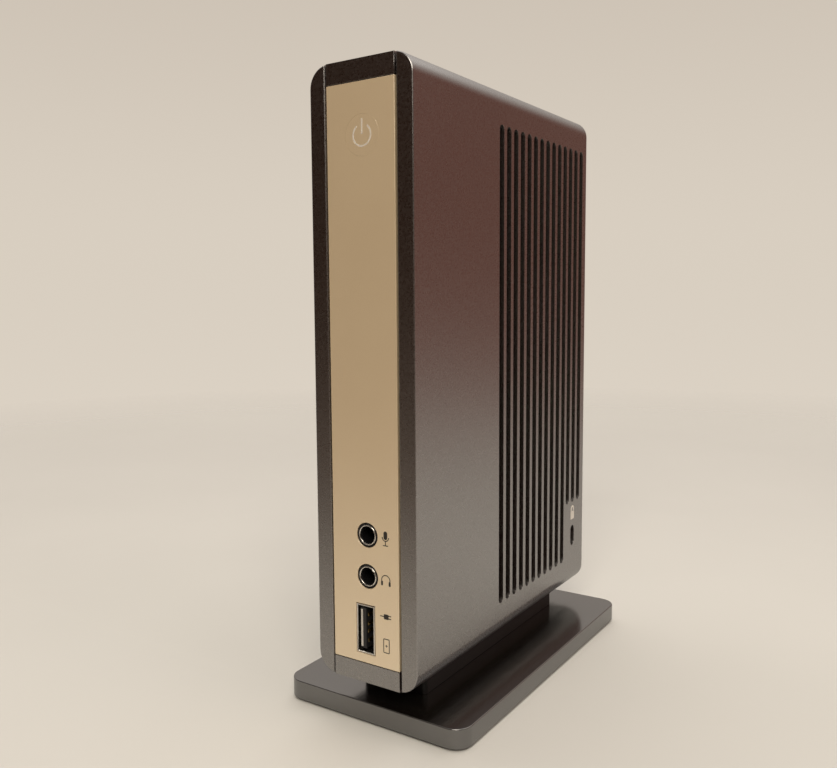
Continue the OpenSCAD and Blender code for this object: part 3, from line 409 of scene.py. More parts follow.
INK = moulded_plastic("printed_ink", (0.030, 0.026, 0.022), 0.55, grain=5000, relief=0.0005 * MM)
PALE_INK = moulded_plastic("pale_ink", (0.80, 0.77, 0.70), 0.50, grain=5000, relief=0.0005 * MM)
PLATE = moulded_plastic("plate_plastic", (0.005, 0.004, 0.003), 0.16, ior=2.6, rough_range=0.04)

# ---------------- mesh tools


def cad_mesh(node):
    """The CAD node's faces, welded, with each flat stretch joined up."""
    bm = bmesh.new()
    bm.from_mesh(frame["nodes"][node].data)
    bmesh.ops.remove_doubles(bm, verts=bm.verts, dist=0.001 * MM)
    bmesh.ops.dissolve_limit(bm, angle_limit=math.radians(0.4), verts=bm.verts, edges=bm.edges)
    return bm


def round_edges(bm, width, pick=lambda point: True, steps=3, sharp=35):
    """Rounds the sharp edges whose two ends both pass the test pick."""
    edges = [
        edge
        for edge in bm.edges
        if len(edge.link_faces) == 2
        and edge.calc_face_angle(0) > math.radians(sharp)
        and pick(edge.verts[0].co)
        and pick(edge.verts[1].co)
    ]
    settings = dict(offset=width, offset_type="OFFSET", segments=steps, profile=0.5)
    bmesh.ops.bevel(bm, geom=edges, affect="EDGES", clamp_overlap=True, **settings)


def add_piece(name, bm, body, slot, *stands_for, finish=None):
    """Turns a bmesh into a piece that rides on a body, and hides the CAD nodes that it stands for."""
    smooth_up_to = math.radians(38)
    mesh = bpy.data.meshes.new(name)
    bmesh.ops.recalc_face_normals(bm, faces=bm.faces)
    bm.to_mesh(mesh)
    bm.free()
    mesh.materials.append(finish or FINISHES[slot])
    mesh.shade_smooth()
    mesh.set_sharp_from_angle(angle=smooth_up_to)
    piece = bpy.data.objects.new(name, mesh)
    show(piece)
    normals = piece.modifiers.new("normals", "WEIGHTED_NORMAL")
    normals.keep_sharp = True
    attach(piece, body)
    if stands_for:
        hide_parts(*stands_for)


def body_of(node):
    return frame["nodes"][node]["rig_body"]


def slot_of(node):
    """The record's material slot of a node, which its packed material is named after."""
    return frame["nodes"][node].data.materials[0].name


def middle(node):
    low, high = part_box(node)
    return (low + high) / 2


def near(value, target, tolerance=0.02 * MM):
    return abs(value - target) < tolerance


def block(bm, low, high, radius=0.0, steps=2):
    """A box between two corners, with round edges."""
    made = bmesh.ops.create_cube(bm, size=1)["verts"]
    low, high = Vector(low), Vector(high)
    for vert in made:
        vert.co = Vector(low[i] + (vert.co[i] + 0.5) * (high[i] - low[i]) for i in range(3))
    if radius:
        edges = list({edge for vert in made for edge in vert.link_edges})
        bmesh.ops.bevel(bm, geom=edges, offset=radius, segments=steps, profile=0.5, affect="EDGES")


def turned(bm, profile, place, axis, steps=48):
    """Turns a profile of (radius, distance along the axis) round an axis through a place."""
    turn = Vector((0, 0, 1)).rotation_difference(Vector(axis)).to_matrix()
    rings = []
    for radius, along in profile:
        if radius < 1e-9:
            rings.append([bm.verts.new(Vector(place) + turn @ Vector((0, 0, along)))] * steps)
            continue
        ring = []
        for i in range(steps):
            angle = 2 * math.pi * i / steps
            spot = Vector((radius * math.cos(angle), radius * math.sin(angle), along))
            ring.append(bm.verts.new(Vector(place) + turn @ spot))
        rings.append(ring)
    for first, second in zip(rings, rings[1:]):
        for i in range(steps):
            j = (i + 1) % steps
            corners = list(dict.fromkeys((first[i], first[j], second[j], second[i])))
            if len(corners) > 2:
                bm.faces.new(corners)


def ring_profile(radius, thickness, steps=12):
    """A closed round profile for a wire ring."""
    turns = [2 * math.pi * i / steps for i in range(steps + 1)]
    return [(radius + thickness * math.cos(turn), thickness * math.sin(turn)) for turn in turns]


def join_rings(bm, first, second):
    """Faces between two closed lines that have the same number of vertices."""
    for i in range(len(first)):
        j = (i + 1) % len(first)
        bm.faces.new((first[i], first[j], second[j], second[i]))


def print_shape(bm, outline, surface, thickness=0.02 * MM):
    """A thin printed shape: outline points go through surface(u, v, height) to their place."""
    front = [bm.verts.new(surface(u, v, thickness)) for u, v in outline]
    back = [bm.verts.new(surface(u, v, -thickness)) for u, v in outline]
    bm.faces.new(front)
    bm.faces.new(back[::-1])
    join_rings(bm, front, back)


def print_ring(bm, outer, inner, surface, thickness=0.02 * MM):
    """A thin printed outline between two closed lines that have the same number of points."""
    loops = []
    for line, height in ((outer, thickness), (outer, -thickness), (inner, -thickness), (inner, thickness)):
        loops.append([bm.verts.new(surface(u, v, height)) for u, v in line])
    for first, second in zip(loops, loops[1:] + loops[:1]):
        join_rings(bm, first, second)


def print_line(bm, points, width, surface):
    print_shape(bm, stroke(points, width), surface)


def arc(centre, radius, start, end, steps=16):
    """Points on an arc, from start to end in degrees."""
    angles = [math.radians(start + (end - start) * i / steps) for i in range(steps + 1)]
    return [(centre[0] + radius * math.cos(a), centre[1] + radius * math.sin(a)) for a in angles]


def stroke(points, width):
    """The outline of a line of an even width through the points."""
    left, right = [], []
    for i, (x, y) in enumerate(points):
        before = points[max(i - 1, 0)]
        after = points[min(i + 1, len(points) - 1)]
        along = Vector((after[0] - before[0], after[1] - before[1])).normalized()
        left.append((x - along.y * width / 2, y + along.x * width / 2))
        right.append((x + along.y * width / 2, y - along.x * width / 2))
    return left + right[::-1]


def rounded_outline(width, height, radius, centre=(0, 0), steps=6):
    """A rectangle with round corners, centred on a point."""
    points = []
    for sx, sy, start in ((1, 1, 0), (-1, 1, 90), (-1, -1, 180), (1, -1, 270)):
        corner = (centre[0] + sx * (width / 2 - radius), centre[1] + sy * (height / 2 - radius))
        points += arc(corner, radius, start, start + 90, steps)
    return points


# ---------------- case


def on_cover_face(point):
    return near(abs(point.x), SIDE_X)


def on_front(point):
    return near(point.y, FRONT_Y)


def on_rear(point):
    return near(point.y, REAR_Y)


def outside_wall(point):
    """True on the body's outer skin, false on the insides of its walls."""
    skin, corner = 1.4 * MM, 5.6 * MM
    middle_z, half_height = (TOP_Z + BASE_Z) / 2, (TOP_Z - BASE_Z) / 2
    across = abs(point.x) - (SIDE_X - corner)
    upward = abs(point.z - middle_z) - half_height + corner
    on_flat = abs(point.x) > SIDE_X - skin or not BASE_Z + skin <= point.z <= TOP_Z - skin
    return on_flat or math.hypot(across, upward) > corner - skin


def add_case():
    """The two covers and the band between them."""
    rear_round, front_round, vent_round = 1.1 * MM, 0.45 * MM, 0.22 * MM
    band_rear_round, band_front_round = 0.9 * MM, 0.35 * MM
    for node in ("left_cover", "right_cover"):
        bm = cad_mesh(node)
        round_edges(bm, rear_round, lambda p: on_rear(p) and outside_wall(p), 5)
        round_edges(bm, front_round, lambda p: on_front(p) and outside_wall(p), 4)
        round_edges(bm, vent_round, on_cover_face, 3)
        add_piece(node + "_shell", bm, "dock", "shell_plastic", node)
    bm = cad_mesh("centre_frame")
    round_edges(bm, band_rear_round, lambda p: on_rear(p) and outside_wall(p), 4)
    round_edges(bm, band_front_round, on_front, 3)
    add_piece("centre_band", bm, "dock", "shell_plastic", "centre_frame")


def near_front(point):
    return point.y < FRONT_Y + 0.1 * MM


def sink_front(bm):
    """Moves a front face in by a hair, so that what is printed on it has room."""
    for vert in bm.verts:
        if on_front(vert.co):
            vert.co.y += INSET


def add_front_panel():
    """The satin panel, its edges round except beside the key, and the black rear panel."""
    edge_round, key_zone = 0.2 * MM, 6 * MM
    key_z = middle("power_key").z
    bm = cad_mesh("front_panel")
    sink_front(bm)
    round_edges(bm, edge_round, lambda p: near_front(p) and abs(p.z - key_z) > key_zone, 3)
    add_piece("front_panel_face", bm, "dock", "panel_satin", "front_panel")
    bm = cad_mesh("rear_panel")
    round_edges(bm, edge_round, lambda p: near(p.y, REAR_FACE_Y), 3)
    add_piece("rear_panel_face", bm, "dock", "black_plastic", "rear_panel")


def add_key():
    """The key's cap, widened at its face so that it all but fills its hole."""
    rim, rim_band, growth = 5.0 * MM, 0.2 * MM, 0.07 * MM
    centre = middle("power_key")
    bm = cad_mesh("power_key")
    for vert in bm.verts:
        arm = Vector((vert.co.x - centre.x, 0, vert.co.z - centre.z))
        if vert.co.y < FRONT_Y + 1.0 * MM and rim < arm.length < rim + rim_band:
            arm *= (arm.length + growth) / arm.length
            vert.co.x = centre.x + arm.x
            vert.co.z = centre.z + arm.z
    sink_front(bm)
    round_edges(bm, 0.03 * MM, near_front, 2)
    add_piece("power_key_cap", bm, "key", "panel_satin", "power_key")


# ---------------- printed signs


def on_panel(u, v, height):
    """A place on the front panel, across and up, raised by a height."""
    return Vector((u, FRONT_Y + INSET - height, v))


def on_side(u, v, height):
    """A place on the right cover, along and up, raised by a height."""
    sink = 0.018 * MM
    return Vector((SIDE_X - sink + height, u, v))


def add_microphone_sign():
    z = middle("mic_jack").z
    foot_z, foot_half = z - 1.9 * MM, 0.8 * MM
    bm = bmesh.new()
    print_shape(bm, rounded_outline(1.15 * MM, 2.2 * MM, 0.56 * MM, (SIGN_X, z + 0.75 * MM)), on_panel)
    print_line(bm, arc((SIGN_X, z + 0.3 * MM), 1.0 * MM, 180, 360), SIGN_LINE, on_panel)
    print_line(bm, [(SIGN_X, z - 0.7 * MM), (SIGN_X, foot_z)], SIGN_LINE, on_panel)
    print_line(bm, [(SIGN_X - foot_half, foot_z), (SIGN_X + foot_half, foot_z)], SIGN_LINE, on_panel)
    add_piece("microphone_sign", bm, "dock", "black_plastic", finish=INK)


def add_headphones_sign():
    z = middle("headphone_jack").z
    bm = bmesh.new()
    print_line(bm, arc((SIGN_X, z), 1.3 * MM, -12, 192, 24), SIGN_LINE, on_panel)
    for side in (-1, 1):
        place = (SIGN_X + side * 1.2 * MM, z - 0.85 * MM)
        print_shape(bm, rounded_outline(0.6 * MM, 1.3 * MM, 0.28 * MM, place), on_panel)
    add_piece("headphones_sign", bm, "dock", "black_plastic", finish=INK)


def add_plug_sign():
    z = middle("front_usb_shell").z + 4.7 * MM
    bm = bmesh.new()
    print_shape(bm, rounded_outline(1.5 * MM, 1.35 * MM, 0.2 * MM, (SIGN_X, z)), on_panel)
    for side in (-1, 1):
        place = (SIGN_X + 1.1 * MM, z + side * 0.36 * MM)
        print_shape(bm, rounded_outline(0.9 * MM, 0.28 * MM, 0.1 * MM, place), on_panel)
    print_line(bm, [(SIGN_X - 0.7 * MM, z), (SIGN_X - 1.9 * MM, z)], SIGN_LINE, on_panel)
    add_piece("plug_sign", bm, "dock", "black_plastic", finish=INK)


def add_battery_sign():
    width, height, corner = 2.0 * MM, 3.9 * MM, 0.34 * MM
    z = middle("front_usb_shell").z - 3.1 * MM
    outer = rounded_outline(width, height, corner, (SIGN_X, z))
    inner_size = (width - 2 * SIGN_LINE, height - 2 * SIGN_LINE, corner - SIGN_LINE)
    bm = bmesh.new()
    print_ring(bm, outer, rounded_outline(*inner_size, (SIGN_X, z)), on_panel)
    print_shape(bm, rounded_outline(0.7 * MM, 0.2 * MM, 0.05 * MM, (SIGN_X, z)), on_panel)
    for side in (-1, 1):
        place = (SIGN_X, z + side * 0.23 * MM)
        print_shape(bm, rounded_outline(0.2 * MM, 0.22 * MM, 0.05 * MM, place), on_panel)
    add_piece("battery_sign", bm, "dock", "black_plastic", finish=INK)


def add_padlock_sign():
    """A padlock over the lock slot in the right cover."""
    y, slot_top = middle("lock_plate").y, BASE_Z + 21.8 * MM
    arm, arm_foot = 1.0 * MM, slot_top + 4.9 * MM
    bm = bmesh.new()
    print_shape(bm, rounded_outline(3.1 * MM, 2.9 * MM, 0.4 * MM, (y, slot_top + 3.6 * MM)), on_side)
    shackle = [(y - arm, arm_foot), (y - arm, slot_top + 5.6 * MM)]
    shackle += arc((y, slot_top + 5.7 * MM), arm, 180, 0, 14)
    shackle += [(y + arm, arm_foot)]
    print_line(bm, shackle, 0.75 * MM, on_side)
    add_piece("padlock_sign", bm, "dock", "shell_plastic", finish=PALE_INK)


# ---------------- stand


def add_stand():
    """The plate, the pedestal and the feet."""
    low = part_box("stand_base")[0].z
    bm = cad_mesh("stand_base")
    round_edges(bm, 0.7 * MM, lambda p: near(p.z, PLATE_Z), 4)
    round_edges(bm, 0.3 * MM, lambda p: near(p.z, low), 3)
    add_piece("stand_plate", bm, "stand", "shell_plastic", "stand_base", finish=PLATE)
    bm = cad_mesh("stand_pedestal")
    round_edges(bm, 0.35 * MM)
    add_piece("pedestal", bm, "stand", "pedestal_plastic", "stand_pedestal")
    bm = cad_mesh("stand_feet")
    round_edges(bm, 0.2 * MM)
    add_piece("rubber_feet", bm, "stand", "foot_rubber", "stand_feet")


# ---------------- sockets


def add_dressed(node, width, pick=lambda point: True, steps=3):
    """A copy of a CAD node with rounded edges and its own finish."""
    bm = cad_mesh(node)
    round_edges(bm, width, pick, steps)
    slot = slot_of(node)
    add_piece(node + "_detail", bm, body_of(node), slot, node)


def add_rear_socket(node, width):
    """A dressed copy of a socket, with only its mouth at the rear rounded."""
    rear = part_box(node)[1].y
    add_dressed(node, width, lambda p: near(p.y, rear))


def add_audio_jack(node):
    """The jack's black nose with a countersunk mouth, a plated ring round it, and its spring contacts."""
    mouth_depth, mouth_radius = 0.6 * MM, 2.2 * MM
    ring_radius, ring_wire, ring_depth = 2.52 * MM, 0.19 * MM, 0.24 * MM
    contact_half, contact_reach = Vector((0.24, 1.0, 0.24)) * MM, 1.72 * MM
    centre = middle(node)
    bm = cad_mesh(node)
    flat = [face for face in bm.faces if all(on_front(vert.co) for vert in face.verts)]
    bmesh.ops.delete(bm, geom=flat, context="FACES")
    for vert in bm.verts:
        if on_front(vert.co) and math.hypot(vert.co.x - centre.x, vert.co.z - centre.z) < mouth_radius:
            vert.co.y += mouth_depth
    bmesh.ops.bridge_loops(bm, edges=[edge for edge in bm.edges if edge.is_boundary])
    round_edges(bm, 0.16 * MM, lambda p: p.y < FRONT_Y + 0.05 * MM)
    add_piece(node + "_body", bm, "dock", "jack_plastic", node)
    bm = bmesh.new()
    ring_place = (centre.x, FRONT_Y + ring_depth, centre.z)
    turned(bm, ring_profile(ring_radius, ring_wire), ring_place, (0, 1, 0), 56)
    add_piece(node + "_ring", bm, "dock", "port_steel")
    bm = bmesh.new()
    for along, angle in ((5.2, 200), (7.6, 20), (10.0, 110)):
        turn = math.radians(angle)
        x = centre.x + contact_reach * math.cos(turn)
        z = centre.z + contact_reach * math.sin(turn)
        spot = Vector((x, FRONT_Y + along * MM, z))
        block(bm, spot - contact_half, spot + contact_half, 0.1 * MM)
    add_piece(node + "_contacts", bm, "dock", "contact_gold")


def add_strips(name, node, strips, slot="contact_gold", radius=0.06 * MM):
    """Thin flat strips, such as contacts or spring tabs, each given by its low and high corners."""
    bm = bmesh.new()
    for low, high in strips:
        block(bm, low, high, radius)
    add_piece(name, bm, body_of(node), slot)


def lay_strips(face_x, proud, steps, half_width, mouth_y, end_y, centre_z):
    """Strips one above another on a face that looks along X, each sunk a little into it."""
    back_x = face_x - math.copysign(0.1 * MM, proud)
    low_x, high_x = sorted((back_x, face_x + proud))
    low_y, high_y = sorted((mouth_y, end_y))
    strips = []
    for step in steps:
        z = centre_z + step * MM
        strips.append(((low_x, low_y, z - half_width), (high_x, high_y, z + half_width)))
    return strips


def usb_a_contacts(face_x, side, mouth_y, inward, centre_z):
    """Four contacts on a tongue's face; side is the way the face looks, inward the way the plug goes."""
    start, end = mouth_y + inward * 0.9 * MM, mouth_y + inward * 8.6 * MM
    return lay_strips(face_x, side * 0.12 * MM, (-3.5, -1.0, 1.0, 3.5), 0.5 * MM, start, end, centre_z)


def spring_tabs(wall_x, side, mouth_y, inward, centre_z):
    """Two tabs pressed out of a shell's wide wall that grip the plug."""
    start, end = mouth_y + inward * 1.6 * MM, mouth_y + inward * 6.0 * MM
    return lay_strips(wall_x, side * 0.32 * MM, (-3.0, 3.0), 1.0 * MM, start, end, centre_z)


def add_front_usb():
    """The charging port, with contacts, spring tabs and a plated front edge on its tongue."""
    shell_low, shell_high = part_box("front_usb_shell")
    core_low, core_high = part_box("front_usb_core")
    tongue_x = shell_low.x + 2.66 * MM
    centre_z = middle("front_usb_shell").z
    add_dressed("front_usb_shell", 0.14 * MM, on_front)
    add_dressed("front_usb_core", 0.15 * MM)
    contacts = usb_a_contacts(tongue_x, 1, FRONT_Y + 0.6 * MM, 1, centre_z)
    add_strips("front_usb_contacts", "front_usb_core", contacts)
    tabs = spring_tabs(shell_high.x - 0.35 * MM, -1, FRONT_Y, 1, centre_z)
    add_strips("front_usb_tabs", "front_usb_shell", tabs, "port_steel")
    edge_x, edge_inset = tongue_x - 1.15 * MM, 1.1 * MM
    edge_low = (edge_x - 0.5 * MM, core_low.y - 0.05 * MM, core_low.z + edge_inset)
    edge_high = (edge_x + 0.15 * MM, core_low.y + 0.3 * MM, core_high.z - edge_inset)
    add_strips("front_usb_edge", "front_usb_core", [(edge_low, edge_high)], "port_steel")


def add_usb_stacks():
    """Two pairs of USB-A ports, with contacts and spring tabs."""
    for node in ("usb_stack_low", "usb_stack_high"):
        low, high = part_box(node + "_shell")
        centre_z = middle(node + "_shell").z
        add_rear_socket(node + "_shell", 0.16 * MM)
        add_dressed(node + "_core", 0.15 * MM)
        contacts, tabs = [], []
        for slot_x in (low.x + 4.1 * MM, low.x + 11.7 * MM):
            contacts += usb_a_contacts(slot_x + 0.2 * MM, -1, high.y - 1.2 * MM, -1, centre_z)
            tabs += spring_tabs(slot_x - 2.56 * MM, 1, high.y, -1, centre_z)
        add_strips(node + "_contacts", node + "_core", contacts)
        add_strips(node + "_tabs", node + "_shell", tabs, "port_steel")


def add_usb_b():
    """The upstream port, with two contacts on each side of its post."""
    low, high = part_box("usb_b_shell")
    post_x, post_half = low.x + 5.5 * MM, 1.6 * MM
    start, end = high.y - 1.6 * MM, high.y - 9 * MM
    add_rear_socket("usb_b_shell", 0.16 * MM)
    add_dressed("usb_b_core", 0.18 * MM)
    strips = []
    for side in (-1, 1):
        face_x, proud = post_x + side * post_half, side * 0.12 * MM
        strips += lay_strips(face_x, proud, (-1.25, 1.25), 0.4 * MM, start, end, middle("usb_b_shell").z)
    add_strips("usb_b_contacts", "usb_b_core", strips)


def add_hdmi():
    """The screen port, with nine and ten contacts on its tongue."""
    low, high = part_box("hdmi_shell")
    tongue_x, tongue_half = low.x + 3.1 * MM, 0.92 * MM
    start, end = high.y - 1.4 * MM, high.y - 7 * MM
    add_rear_socket("hdmi_shell", 0.14 * MM)
    add_dressed("hdmi_core", 0.12 * MM)
    strips = []
    for side, count in ((-1, 9), (1, 10)):
        face_x, proud = tongue_x + side * tongue_half, side * 0.05 * MM
        steps = [i - (count - 1) / 2 for i in range(count)]
        strips += lay_strips(face_x, proud, steps, 0.25 * MM, start, end, middle("hdmi_shell").z)
    add_strips("hdmi_contacts", "hdmi_core", strips, radius=0.03 * MM)


def add_network_jack():
    """The jack and its lamps, and eight bent spring contacts in it."""
    count, width, thick = 8, 0.4 * MM, 0.3 * MM
    add_rear_socket("network_jack", 0.18 * MM)
    add_dressed("network_lamps", 0.2 * MM)
    low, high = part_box("network_contacts")
    step = (high.z - low.z - width) / (count - 1)
    profile = [(high.x, low.y), (high.x, high.y), (high.x - 0.25 * MM, high.y), (low.x, low.y + 1.2 * MM)]
    profile += [(low.x + 0.25 * MM, low.y + 0.8 * MM), (high.x - thick, high.y - 0.8 * MM)]
    profile += [(high.x - thick, low.y)]
    bm = bmesh.new()
    for i in range(count):
        z = low.z + i * step
        front = [bm.verts.new((x, y, z)) for x, y in profile]
        back = [bm.verts.new((x, y, z + width)) for x, y in profile]
        bm.faces.new(front)
        bm.faces.new(back[::-1])
        join_rings(bm, front, back)
    add_piece("network_springs", bm, "dock", "contact_gold", "network_contacts")


def add_power_inlet():
    """The round inlet with its centre pin and the spring ring round the plug."""
    ring_radius, ring_wire, ring_depth = 3.15 * MM, 0.16 * MM, 1.6 * MM
    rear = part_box("power_inlet")[1].y
    low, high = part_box("power_inlet_pin")
    place = middle("power_inlet_pin")
    radius, length = (high.x - low.x) / 2, high.y - low.y
    add_rear_socket("power_inlet", 0.2 * MM)
    profile = [(0, 0), (radius, 0), (radius, length - 0.7 * MM), (radius * 0.9, length - 0.35 * MM)]
    profile += [(radius * 0.62, length - 0.1 * MM), (radius * 0.3, length), (0, length)]
    bm = bmesh.new()
    turned(bm, profile, (place.x, low.y, place.z), (0, 1, 0), 32)
    add_piece("inlet_pin", bm, "dock", "port_steel", "power_inlet_pin")
    bm = bmesh.new()
    ring_place = (place.x, rear - ring_depth, place.z)
    turned(bm, ring_profile(ring_radius, ring_wire), ring_place, (0, 1, 0), 40)
    add_piece("inlet_spring", bm, "dock", "port_steel")


def add_vga():
    """The blue port with three leaning rows of five tubular contacts, and its two jack nuts."""
    row_gap, pin_gap, row_lean = 1.98 * MM, 2.29 * MM, 0.57 * MM
    tube, bore, length = 0.53 * MM, 0.36 * MM, 4.0 * MM
    low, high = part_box("vga_shroud")
    middle_x, centre_z = low.x + 6.3 * MM, middle("vga_shroud").z
    add_rear_socket("vga_shroud", 0.14 * MM)
    add_dressed("vga_body", 0.12 * MM, lambda p: p.y > REAR_FACE_Y)
    add_dressed("vga_jack_nuts", 0.18 * MM, lambda p: p.y > REAR_FACE_Y)
    wall = [(tube, 0.0), (tube, length), (bore, length), (bore, 0.0), (tube, 0.0)]
    bm = bmesh.new()
    for row in (-1, 0, 1):
        for i in range(-2, 3):
            x = middle_x + row * row_gap
            z = centre_z + i * pin_gap + row * row_lean
            turned(bm, wall, (x, high.y - 4.4 * MM, z), (0, 1, 0), 16)
    add_piece("vga_contacts", bm, "dock", "contact_gold")


def add_rear_signs():
    """Generic signs beside the rear ports: direct current, plug, network and screen."""
    sign_x, line = -11.3 * MM, 0.3 * MM

    def on_rear_panel(u, v, height):
        return Vector((sign_x - u, REAR_FACE_Y + height, v))

    def draw_lines(bm, z, *ends):
        """Straight lines from (u0, v0) to (u1, v1), in millimetres from the sign's middle."""
        for u0, v0, u1, v1 in ends:
            print_line(bm, [(u0 * MM, z + v0 * MM), (u1 * MM, z + v1 * MM)], line, on_rear_panel)

    def draw_box(bm, width, height, corner, u, v):
        outline = rounded_outline(width * MM, height * MM, corner * MM, (u * MM, v))
        print_shape(bm, outline, on_rear_panel)

    def screen(bm, z):
        draw_lines(bm, z, (-1.5, 1.2, 1.5, 1.2), (-1.5, -0.8, 1.5, -0.8), (-1.5, 1.35, -1.5, -0.95))
        draw_lines(bm, z, (1.5, 1.35, 1.5, -0.95), (0, -0.8, 0, -1.5), (-0.8, -1.6, 0.8, -1.6))

    def plug(bm, z):
        draw_box(bm, 1.5, 1.5, 0.2, 0, z)
        for side in (-1, 1):
            draw_box(bm, 0.3, 0.8, 0.1, side * 0.4, z + 1.1 * MM)
        draw_lines(bm, z, (0, -0.7, 0, -1.7))

    def direct_current(bm, z):
        draw_lines(bm, z, (-1.5, 0.4, 1.5, 0.4))
        for u in (-1.2, 0, 1.2):
            draw_lines(bm, z, (u - 0.3, -0.4, u + 0.3, -0.4))

    def network(bm, z):
        for u, v in ((0, 1.1), (-1.1, -1.1), (1.1, -1.1)):
            draw_box(bm, 1.0, 0.9, 0.1, u, z + v * MM)
        draw_lines(bm, z, (0, 0.7, 0, 0), (-1.1, 0, 1.1, 0), (-1.1, 0.1, -1.1, -0.7), (1.1, 0.1, 1.1, -0.7))

    signs = (
        ("power_inlet", direct_current),
        ("usb_b_shell", plug),
        ("usb_stack_low_shell", plug),
        ("usb_stack_high_shell", plug),
        ("network_jack", network),
        ("hdmi_shell", screen),
        ("vga_shroud", screen),
    )
    bm = bmesh.new()
    for node, draw in signs:
        draw(bm, middle(node).z)
    add_piece("rear_signs", bm, "dock", "black_plastic", finish=PALE_INK)


# ---------------- screws


def islands(node):
    """The boxes of a node's separate solids, as pairs of corners."""
    bm = bmesh.new()
    bm.from_mesh(frame["nodes"][node].data)
    bmesh.ops.remove_doubles(bm, verts=bm.verts, dist=0.001 * MM)
    left = set(bm.verts)
    boxes = []
    while left:
        start = left.pop()
        part, waiting = [start], [start]
        while waiting:
            vert = waiting.pop()
            for edge in vert.link_edges:
                other = edge.other_vert(vert)
                if other in left:
                    left.remove(other)
                    part.append(other)
                    waiting.append(other)
        low = Vector(min(v.co[i] for v in part) for i in range(3))
        high = Vector(max(v.co[i] for v in part) for i in range(3))
        boxes.append((low, high))
    bm.free()
    return sorted(boxes, key=lambda box: tuple(box[0]))


def cross_screw(bm, tip, axis, length, head_radius, head_height, shaft_radius):
    """A domed screw with a cross recess, from the tip along the axis to the top of its head."""
    pitch, point_length, thread_root = 0.5 * MM, 0.6 * MM, shaft_radius * 0.86
    crown, arm, half = head_radius * 0.62, head_radius * 0.52, head_radius * 0.13
    recess_depth, recess_taper = head_height * 0.62, 0.72
    steps = 36
    seat = length - head_height
    turn = Vector((0, 0, 1)).rotation_difference(Vector(axis)).to_matrix()

    def spot(x, y, z):
        return Vector(tip) + turn @ Vector((x, y, z))

    profile = [(0, 0), (shaft_radius * 0.7, 0)]
    for i in range(int((seat - point_length) / pitch)):
        for radius, share in ((thread_root, 0.55), (shaft_radius, 0.8), (thread_root, 1.05)):
            profile.append((radius, (i + share) * pitch))
    profile += [(shaft_radius * 0.9, seat), (head_radius * 0.97, seat)]
    profile += [(head_radius, seat + head_height * 0.12)]
    for share in (0.25, 0.5, 0.75, 1.0):
        angle = share * math.pi / 2
        radius = head_radius * (0.62 + 0.38 * math.cos(angle))
        profile.append((radius, seat + head_height * (0.3 + 0.7 * math.sin(angle))))
    turned(bm, profile, tip, axis, steps)
    rim = []
    for i in range(steps):
        angle = 2 * math.pi * i / steps
        rim.append(bm.verts.new(spot(crown * math.cos(angle), crown * math.sin(angle), length)))
    corners = []
    for i in range(4):
        quarter = Matrix.Rotation(math.pi / 2 * i, 2)
        for x, y in ((half, -half), (arm, -half), (arm, half)):
            corners.append(quarter @ Vector((x, y)))
    top = [bm.verts.new(spot(c.x, c.y, length)) for c in corners]
    sunk = [corner * recess_taper for corner in corners]
    floor = [bm.verts.new(spot(c.x, c.y, length - recess_depth)) for c in sunk]
    bm.faces.new(floor)
    join_rings(bm, top, floor)
    loops = []
    for ring in (rim, top):
        for i, vert in enumerate(ring):
            after = ring[(i + 1) % len(ring)]
            loops.append(bm.edges.get((vert, after)) or bm.edges.new((vert, after)))
    bmesh.ops.bridge_loops(bm, edges=loops)
    bmesh.ops.remove_doubles(bm, verts=bm.verts, dist=0.001 * MM)


def add_screws(node, axis, head_height, shaft_radius):
    """Dressed screws where a node has plain ones; the axis points from their tips to their heads."""
    bm = bmesh.new()
    way = max(range(3), key=lambda i: abs(axis[i]))
    across = (way + 1) % 3
    for low, high in islands(node):
        tip = (low + high) / 2
        tip[way] = low[way] if axis[way] > 0 else high[way]
        head_radius = (high[across] - low[across]) / 2
        cross_screw(bm, tip, axis, high[way] - low[way], head_radius, head_height, shaft_radius)
    add_piece(node + "_set", bm, body_of(node), "screw_steel", node)


# ---------------- boards


def add_legs(node, across_y, pitch, foot=0.7 * MM):
    """Rows of bent legs on a chip: at its front and rear if across_y, else at its top and underside."""
    half_width = pitch * 0.24
    bm = bmesh.new()
    for low, high in islands(node):
        centre = (low + high) / 2
        half_y, half_z = (high.y - low.y) / 2, (high.z - low.z) / 2
        row, edge = (half_z, half_y) if across_y else (half_y, half_z)
        count = int((2 * row - 1.2 * MM) / pitch) + 1
        stretches = (
            (edge - 0.1 * MM, 0.36 * MM, 0.35 * MM, 0.5 * MM),
            (edge + 0.22 * MM, 0.32 * MM, 0.0, 0.5 * MM),
            (edge + 0.3 * MM, foot, 0.0, 0.15 * MM),
        )
        for side in (-1, 1):
            for i in range(count):
                along = (i - (count - 1) / 2) * pitch
                for out, size, x0, x1 in stretches:
                    first, second = sorted((side * out, side * (out + size)))
                    near_corner, far_corner = (first, along - half_width), (second, along + half_width)
                    if not across_y:
                        near_corner, far_corner = near_corner[::-1], far_corner[::-1]
                    y0, z0 = centre.y + near_corner[0], centre.z + near_corner[1]
                    y1, z1 = centre.y + far_corner[0], centre.z + far_corner[1]
                    block(bm, (low.x + x0, y0, z0), (low.x + x1, y1, z1))
    add_piece(node + "_legs" + ("_y" if across_y else "_z"), bm, "dock", "port_steel")


